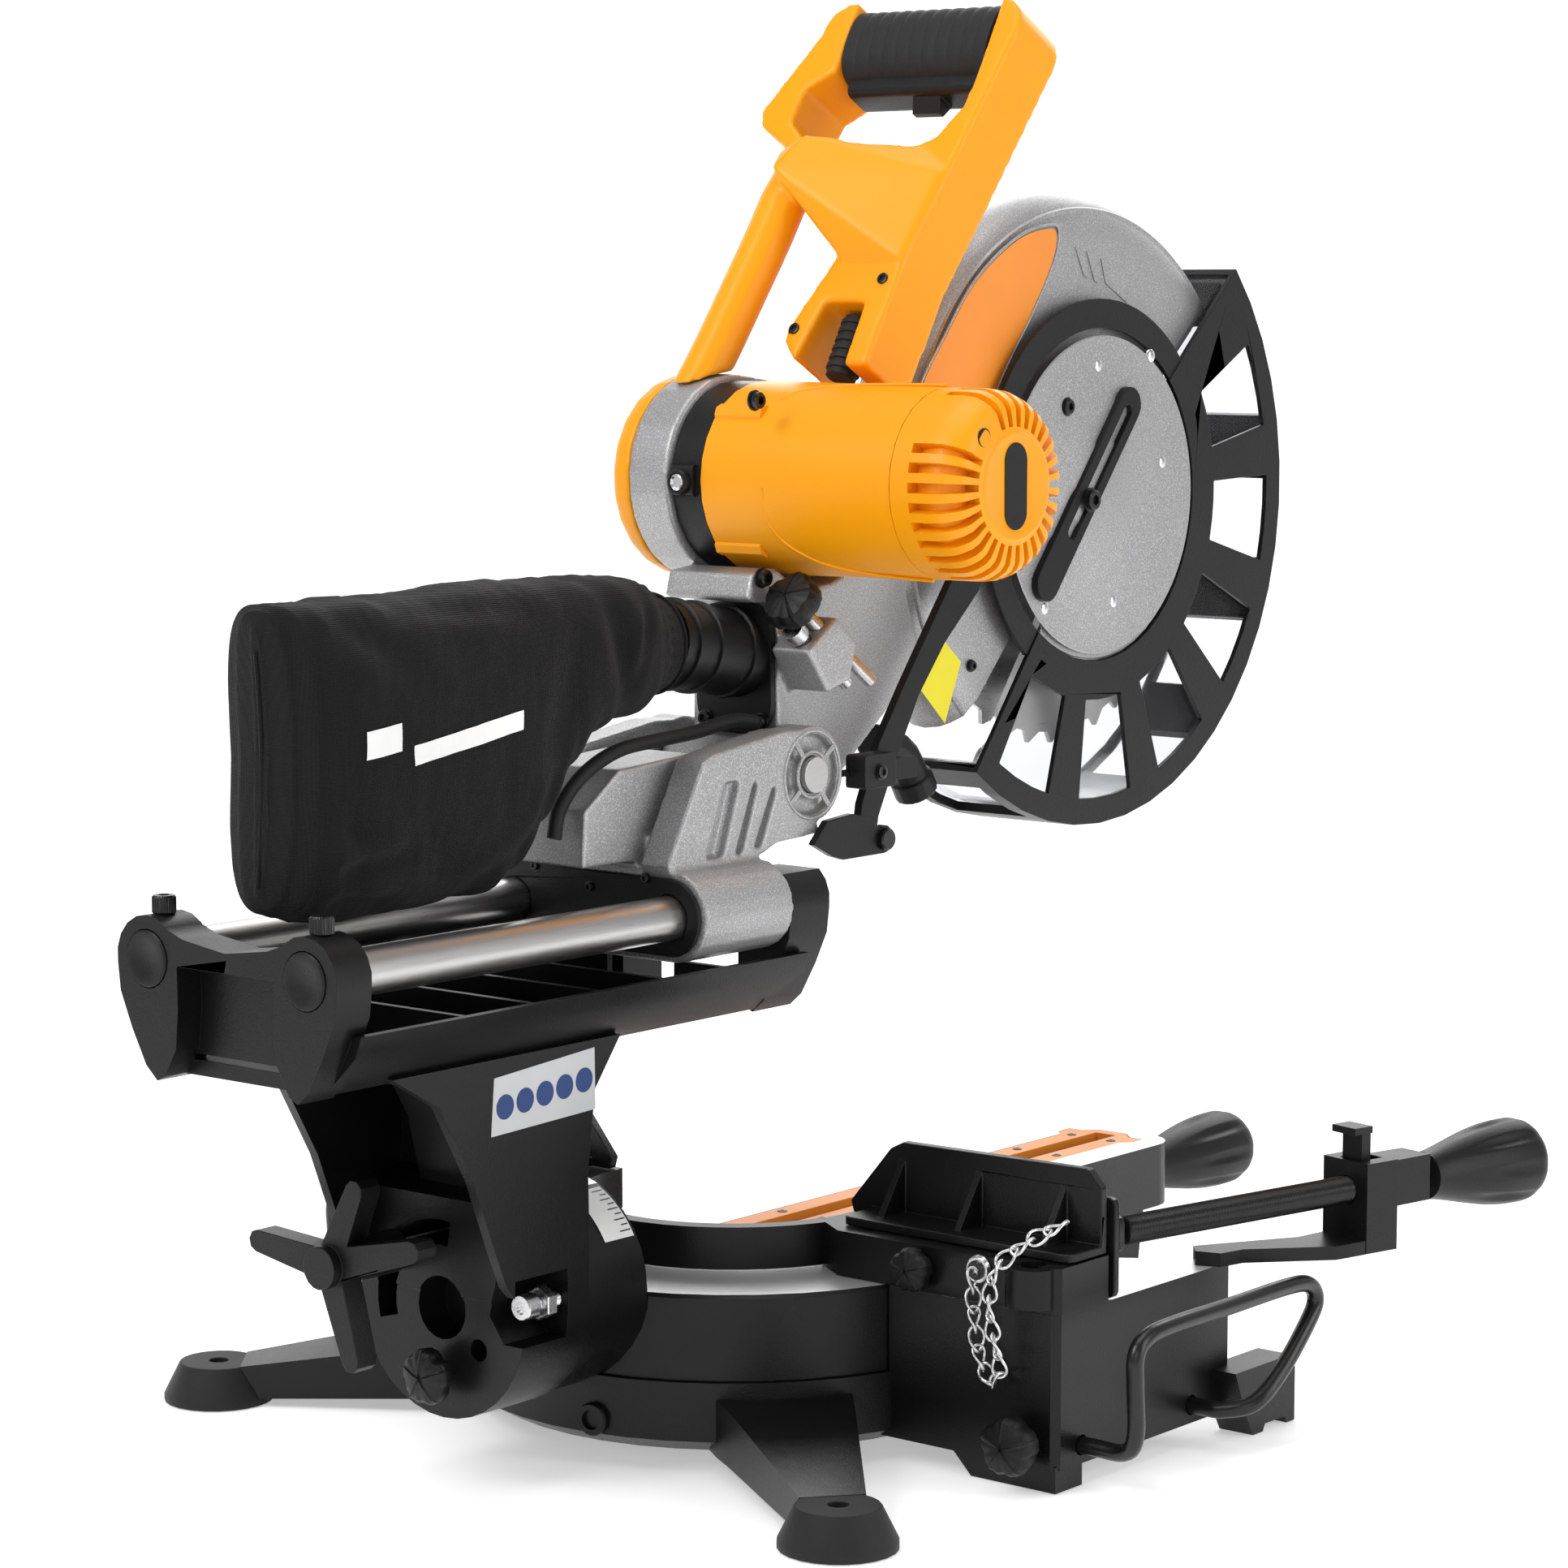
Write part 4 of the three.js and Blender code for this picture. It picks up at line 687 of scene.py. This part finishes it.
# The lower guard's rivets, hub and lever screws.
rivets = []
for y, z in ((-350, 585), (-363, 520), (-312, 437), (-241, 437), (-294, 580), (-205, 470)):
    rivets.append(revolve((-37.2, y, z), (-1, 0, 0),
                          [(0, 4.6), (0.8, 4.4), (1.9, 3.2), (2.4, 1.4), (2.5, 0.02)], 24))
v, f = join(*rivets)
piece("guard_rivets", v, f, "plated_steel", "lower_guard", angle=50)
ring = []
for k in range(41):
    a = math.radians(-51 + 187.5 * k / 40)
    ring += [(x, -299 + r * math.cos(a), 502 + r * math.sin(a)) for r,
             x in ((100.4, -37), (118, -37), (118, -33.9), (100.4, -33.9))]
piece("guard_ring", ring, grid_faces(41, 4) + [(0, 1, 2, 3), (163, 162, 161, 160)], "grip_plastic",
      "lower_guard", edge=0.5)
turned("guard_hub_boss", (-37.9, -299, 502), (-1, 0, 0),
       [(0, 96), (0.7, 95.2), (0.9, 60), (1.6, 57), (1.6, 34), (2.6, 31), (2.6, 0.03)], 96, "silver_paint",
       "lower_guard", angle=20)
screws("guard_screws", "lower_guard", "black_wire",
       [((-43.4, -280, 500), (-1, 0, 0), 6, 4), ((-38.4, -262, 556), (-1, 0, 0), 4.6, 3)])

# The chain on the fence.


def chain():
    path = smooth_path([(-206, 51, 113), (-207.5, 52.5, 96), (-212, 53.5, 70), (-220, 54.5, 57),
                        (-229, 57.5, 64),
                        (-224.5, 60.5, 92), (-226, 60.5, 116), (-236, 50.5, 130), (-246, 37, 138),
                        (-250.6, 31, 141.5)], 24)
    total = [0.0]
    for a, b in zip(path, path[1:]):
        total.append(total[-1] + (b - a).length)

    def at(s):
        for k in range(len(total) - 1):
            if s <= total[k + 1]:
                t = (s - total[k]) / max(1e-9, total[k + 1] - total[k])
                return path[k].lerp(path[k + 1], t)
        return path[-1]

    count, parts, normal = 17, [], Vector((-0.4, 0.9, 0.1))
    step = total[-1] / count
    for k in range(count):
        a, b = at(k * step), at((k + 1) * step)
        d = (b - a).normalized()
        u = (normal - d * d.dot(normal)).normalized()
        w = d.cross(u)
        half, wide = (b - a).length / 2 + 1.9, 3.9
        mid, loop = (a + b) / 2, []
        roll = 0.35 if k % 2 else 1.25
        for j in range(25):
            th = 2 * math.pi * j / 24
            c, s = math.cos(th), math.sin(th)
            twist = roll + 0.75 * c
            across = (w * math.cos(twist) + u * math.sin(twist)) * (wide * s * (1 - 0.25 * c))
            loop.append(mid + d * (half * c) + across)
        parts.append(sweep(loop, 0.95, 8))
    v, f = join(*parts)
    piece("fence_chain_links", v, f, "plated_steel", "base", angle=70, hides=["fence_chain"])


chain()
screws("chain_bolt_head", "base", "black_wire", [((-206, 45.6, 113), (0, 1, 0), 5.2, 4.2)])

# Bent rod and cable.
HALF = [(-170, 22, 22), (-215, 22, 22), (-262, 22, 22), (-284, 23, 23), (-293, 26, 34), (-294, 28, 60),
        (-294, 28, 76),
        (-294, 20, 84), (-294, 0, 87), (-294, -60, 87), (-294, -118, 87), (-294, -138, 84), (-294, -145, 75),
        (-294, -138, 64),
        (-294, -112, 42), (-290, -92, 27), (-276, -83, 22.4), (-262, -81, 22), (-215, -81, 22),
        (-170, -81, 22)]
for side, sx in (("left", 1), ("right", -1)):
    v, f = sweep(smooth_path([(sx * x, y, z) for x, y, z in HALF], 8), 4.7, 20)
    piece(f"lifting_bail_{side}", v, f, "black_wire", f"bail_slide_{side}", angle=60, hides=[f"bail_{side}"])
WIRE = [(-24, 12, 388), (-23, 30, 390), (-22, 60, 386), (-21, 90, 384), (-20, 120, 381), (-18, 146, 370),
        (-17, 163, 354), (-17, 168, 338)]
v, f = sweep(smooth_path(WIRE, 10), 4, 16)
ob = piece("head_lead", v, f, "rubber_dark", "head", angle=60, hides=["head_cable"], ride=False)
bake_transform(ob)

# Labels, all blank or with plain shapes.
LP = ((-59.25, 223, 216), (0, -0.996, 0.087), (0, 0.05, 1))
v, f = plate([(-40, -14), (39, -18), (40, 14.5), (-36, 15.5)], LP, -0.25)
piece("column_label", v, f, "black_casting", "bevel_arm", look="label_silver")
dots = []
for k in range(5):
    ring = [(-29 + 15 * k + 6.4 * math.cos(a),
             -0.8 + 6.4 * math.sin(a)) for a in [2 * math.pi * j / 40 for j in range(40)]]
    dots.append(plate(ring, LP, 0.25, 0.0))
v, f = join(*dots)
piece("column_label_discs", v, f, "black_casting", "bevel_arm", look="blue_print")
v, f = plate([(-151, 427), (-173, 409), (-158, 374), (-135, 395)], ((-27.05, 0, 0), (0, 1, 0), (0, 0, 1)),
             -0.3)
piece("arm_label", v, f, "silver_paint", "head", look="label_yellow")

# Moulded grip, screws and trim on the head.


def loc(u, v, n):
    return Vector((u, -110 - 0.487 * v + 0.8734 * n, 650 + 0.8734 * v + 0.487 * n))


def ribbed_sleeve():
    rows, cols, verts = 150, 72, []
    for i in range(rows):
        t = i / (rows - 1)
        u = -61.6 + 103.2 * t
        rib = abs(math.sin(math.pi * t * 11)) ** 0.5
        inset = 1 - (0.05 * (1 - rib) if 0.03 < t < 0.97 else 0.0)
        for k in range(cols):
            th = 2 * math.pi * k / cols
            c, s = math.cos(th), math.sin(th)
            n = 22.3 * math.copysign(abs(c) ** (2 / 2.7), c) * inset
            v = 126.0 + 24.4 * math.copysign(abs(s) ** (2 / 2.7), s) * (inset if s > 0 else 1)
            verts.append(loc(u + 2.5 * s * math.sin(math.pi * t), v, n))
    faces = grid_faces(rows, cols) + [tuple(range(cols)),
                                      tuple(reversed(range((rows - 1) * cols, rows * cols)))]
    piece("grip_ribbed", verts, faces, "rubber_dark", "head", angle=60, hides=["grip_sleeve"])


ribbed_sleeve()
BK = Vector((0, 0.8734, 0.487))
screws("handle_screws", "head", "black_wire",
       [(loc(5, -66, 21.6), BK, 3.4, 1.6), (loc(-46, -34, 21.6), BK, 3.4, 1.6)])
rings = [revolve(loc(-24, v, 4), loc(0, 1, 0) - loc(0, 0, 0),
                 [(-1.6, 9.2), (-1.2, 9.9), (1.2, 9.9), (1.6, 9.2)], 32)
         for v in (-55, -60.5, -66, -71.5, -77, -82.5)]
v, f = join(*rings)
piece("boot_rings", v, f, "rubber_dark", "head", angle=50)
CH = Vector((0, 66, 10)).normalized()
CB = Vector((0, -1, 424))
rings = [revolve(CB + CH * d, CH, [(-2, 25), (-1.6, r), (1.6, r), (2, 25)], 60) for d,
         r in ((12, 26.2), (40, 25.9), (58, 25.8))]
v, f = join(*rings)
piece("chute_rings", v, f, "grip_plastic", "head", angle=50)
screws("chute_screws", "head", "black_wire",
       [((x, 1.2, z), (0, 1, 0), 4, 3) for x, z in ((-20, 387), (20, 387), (20, 445))])
arc_rib = [(-31, -3), (-31.5, -22), (-38, -38), (-53, -54), (-75, -66), (-100, -74), (-117, -78)]
path = [Vector((x, -40 + 53.3 * math.cos(math.radians(a)), 520 + 53.3 * math.sin(math.radians(a)))) for x,
        a in arc_rib]
top_rib = [(-24, 57), (-30, 66), (-42, 74), (-62, 82), (-90, 88), (-117, 91)]
path2 = [Vector((x, -40 + 53.3 * math.cos(math.radians(a)), 520 + 53.3 * math.sin(math.radians(a)))) for x,
         a in top_rib]
v, f = join(sweep(smooth_path(path, 8), 1.1, 8), sweep(smooth_path(path2, 8), 1.1, 8))
piece("motor_ribs", v, f, "yellow_plastic", "head", angle=60)

# Spokes and ring on the carriage cheeks.
for side, x in (("left", -56.2), ("right", 55.2)):
    spokes = []
    for k in range(4):
        a = math.radians(52 + 90 * k)
        cy, cz, d = math.cos(a), math.sin(a), 1.5
        quad = [(12 * cy + d * cz, 360 + 12 * cz - d * cy), (23 * cy + d * cz, 360 + 23 * cz - d * cy),
                (23 * cy - d * cz, 360 + 23 * cz + d * cy), (12 * cy - d * cz, 360 + 12 * cz + d * cy)]
        spokes.append(plate(quad, ((x, 0, 0), (0, 1, 0), (0, 0, 1)), 1.0 if side == "right" else 1.0))
    for r in (12.6, 24.2):
        ring = [Vector((x + 0.6, r * math.cos(t),
                        360 + r * math.sin(t))) for t in [2 * math.pi * k / 60 for k in range(61)]]
        spokes.append(sweep(ring, 1.25, 8))
    v, f = join(*spokes)
    piece(f"carriage_hub_spokes_{side}", v, f, "silver_paint", "carriage", angle=50)

# The bevel stop: a hexagon nut on a short screw, in its notch.
nut = revolve((-50, 212, 103), (0, 1, 0), [(0, 8.6), (0.6, 9.2), (6.4, 9.2), (7, 8.6)], 6)
stud = revolve((-50, 196.2, 103), (0, 1, 0), [(0.6 * k, 4.0 if k % 2 else 3.5) for k in range(58)], 24)
cap = revolve((-50, 222.6, 103), (0, 1, 0),
              [(0, 6.2), (0.5, 6.8), (8.2, 6.8), (9.2, 6.2), (9.2, 3.4), (5, 3.2), (5, 0.02)], 40)
v, f = join(nut, stud, cap)
piece("bevel_stop_set", v, f, "plated_steel", "bevel_arm", angle=28, hides=["bevel_stop_bolt"])

# The angle label on the drum: blank, with plain ticks.
patch, ticks = [], []
for k in range(13):
    a = math.radians(116 + 34 * k / 12)
    for y in (143, 166):
        patch.append((57.75 * math.cos(a), y, 97 + 57.75 * math.sin(a)))
for k in range(9):
    a, h = math.radians(119 + 3.4 * k), 5 if k % 2 else 8
    da = 0.006
    q = [(57.95 * math.cos(a + s), y, 97 + 57.95 * math.sin(a + s)) for s,
         y in ((-da, 144), (da, 144), (da, 144 + h), (-da, 144 + h))]
    ticks.append((q, [(0, 1, 2, 3)]))
v, f = patch, [(2 * k, 2 * k + 1, 2 * k + 3, 2 * k + 2) for k in range(12)]
piece("drum_label", v, f, "black_casting", "turntable", look="label_white")
v, f = join(*ticks)
piece("drum_label_ticks", v, f, "black_casting", "turntable")

# Screws that hold the kerf insert and the seal plate, the link screw and pin head, and a boss on the tub.
screws("insert_screws", "turntable", "black_wire",
       [((sx * 15, y, 95), (0, 0, 1), 2.6, 0.5) for sx in (-1, 1) for y in (-60, -170, -290, -348)])
screws("seal_screws", "carriage", "black_wire",
       [((x, 121.1, z), (0, 1, 0), 2.6, 1.6) for x, z in ((-40, 314), (40, 314), (0, 306))])
screws("link_screws", "carriage", "black_wire", [((-66.2, -48, 358), (-1, 0, 0), 3.8, 2)])
turned("link_pin_head", (-62.2, -57, 319), (-1, 0, 0), [(0, 6.2), (2.4, 6.2), (3.2, 5.4), (3.2, 0.02)], 36,
       "black_wire", "carriage")
turned("tub_boss", (-28, 151, 24), (-0.19, 0.98, 0),
       [(-4, 9), (3, 9), (4, 8.2), (4, 5.4), (1.2, 5), (1.2, 0.02)], 40, "black_casting", "base")

# ---------------------------------------------------------------- studio

AZ, EL = math.radians(219.4), math.radians(6.7)
BACK = Vector((math.sin(AZ) * math.cos(EL), -math.cos(AZ) * math.cos(EL), math.sin(EL)))
RIGHT = Vector((math.cos(AZ), math.sin(AZ), 0))
UP = BACK.cross(RIGHT)
EYE = S(-1495.5, 1777.3, 621.7)
cam = bpy.data.cameras.new("camera")
cam.lens, cam.sensor_width, cam.clip_end = 96.07, 36, 60
cam.shift_y = 0.002
cam_ob = bpy.data.objects.new("camera", cam)
bpy.context.scene.collection.objects.link(cam_ob)
turn = Matrix((RIGHT, UP, BACK)).transposed().to_4x4()
cam_ob.matrix_world = Matrix.Translation(EYE) @ turn
bpy.context.scene.camera = cam_ob


def glow(m, strength):
    p = m.node_tree.nodes["Principled BSDF"]
    p.inputs["Emission Color"].default_value = (1, 1, 1, 1)
    p.inputs["Emission Strength"].default_value = strength
    return m


def staged(name, corners, m):
    me = bpy.data.meshes.new(name)
    me.from_pydata(corners, [], [(0, 1, 2, 3)])
    me.materials.append(m)
    ob = bpy.data.objects.new(name, me)
    bpy.context.scene.collection.objects.link(ob)


FLAT = Vector((BACK.x, BACK.y, 0)).normalized()
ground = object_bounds()[0][2] - 0.0005
pale = material("floor", (0.88, 0.88, 0.88), 0.75, second=(0.86, 0.86, 0.86), grain=(40, 0.02), spec=0.1)
staged("floor", [(-9, -9, ground), (9, -9, ground), (9, 9, ground), (-9, 9, ground)], glow(pale, 0.42))
far = -FLAT * 4.5
staged("backdrop", [far - RIGHT * 7 + Vector((0, 0, -1)), far + RIGHT * 7 + Vector((0, 0, -1)),
                    far + RIGHT * 7 + Vector((0, 0, 5)),
                    far - RIGHT * 7 + Vector((0, 0, 5))],
       glow(material("backdrop", (0.4, 0.4, 0.4), 0.9, spec=0.0), 0.95))


def lamp(name, where, size, power, target):
    d = bpy.data.lights.new(name, "AREA")
    d.shape, d.size, d.size_y, d.energy = "RECTANGLE", size[0], size[1], power
    o = bpy.data.objects.new(name, d)
    bpy.context.scene.collection.objects.link(o)
    o.location = where
    o.rotation_euler = (Vector(where) - Vector(target)).to_track_quat("Z", "Y").to_euler()


MID = S(0, 0, 380)
Z = Vector((0, 0, 1))
lamp("key", MID - RIGHT * 1.5 + FLAT * 1.2 + Z * 1.5, (1.1, 1.1), 30, MID)
lamp("fill", MID + RIGHT * 2.0 + FLAT * 0.9 + Z * 0.6, (0.8, 1.8), 17, MID)
lamp("top", MID + Z * 2.3, (1.8, 1.8), 24, MID)
lamp("front", MID + FLAT * 2.6 + Z * 0.7, (1.2, 0.8), 6, MID)
lamp("rim", MID - FLAT * 1.9 + RIGHT * 0.6 + Z * 1.2, (1.8, 1.2), 22, MID)

world = bpy.data.worlds.new("studio")
bpy.context.scene.world = world
world.use_nodes = True
wt = world.node_tree
bg = wt.nodes["Background"]
grad = node(wt, "ShaderNodeSeparateXYZ")
wt.links.new(node(wt, "ShaderNodeTexCoord").outputs["Generated"], grad.inputs[0])
level = remap(wt, grad.outputs["Z"], 0.48, 0.30, 0.1, 0.7)
wt.links.new(level, bg.inputs["Strength"])
bg.inputs["Color"].default_value = (1, 1, 1, 1)
bpy.context.scene.view_settings.view_transform = "Standard"
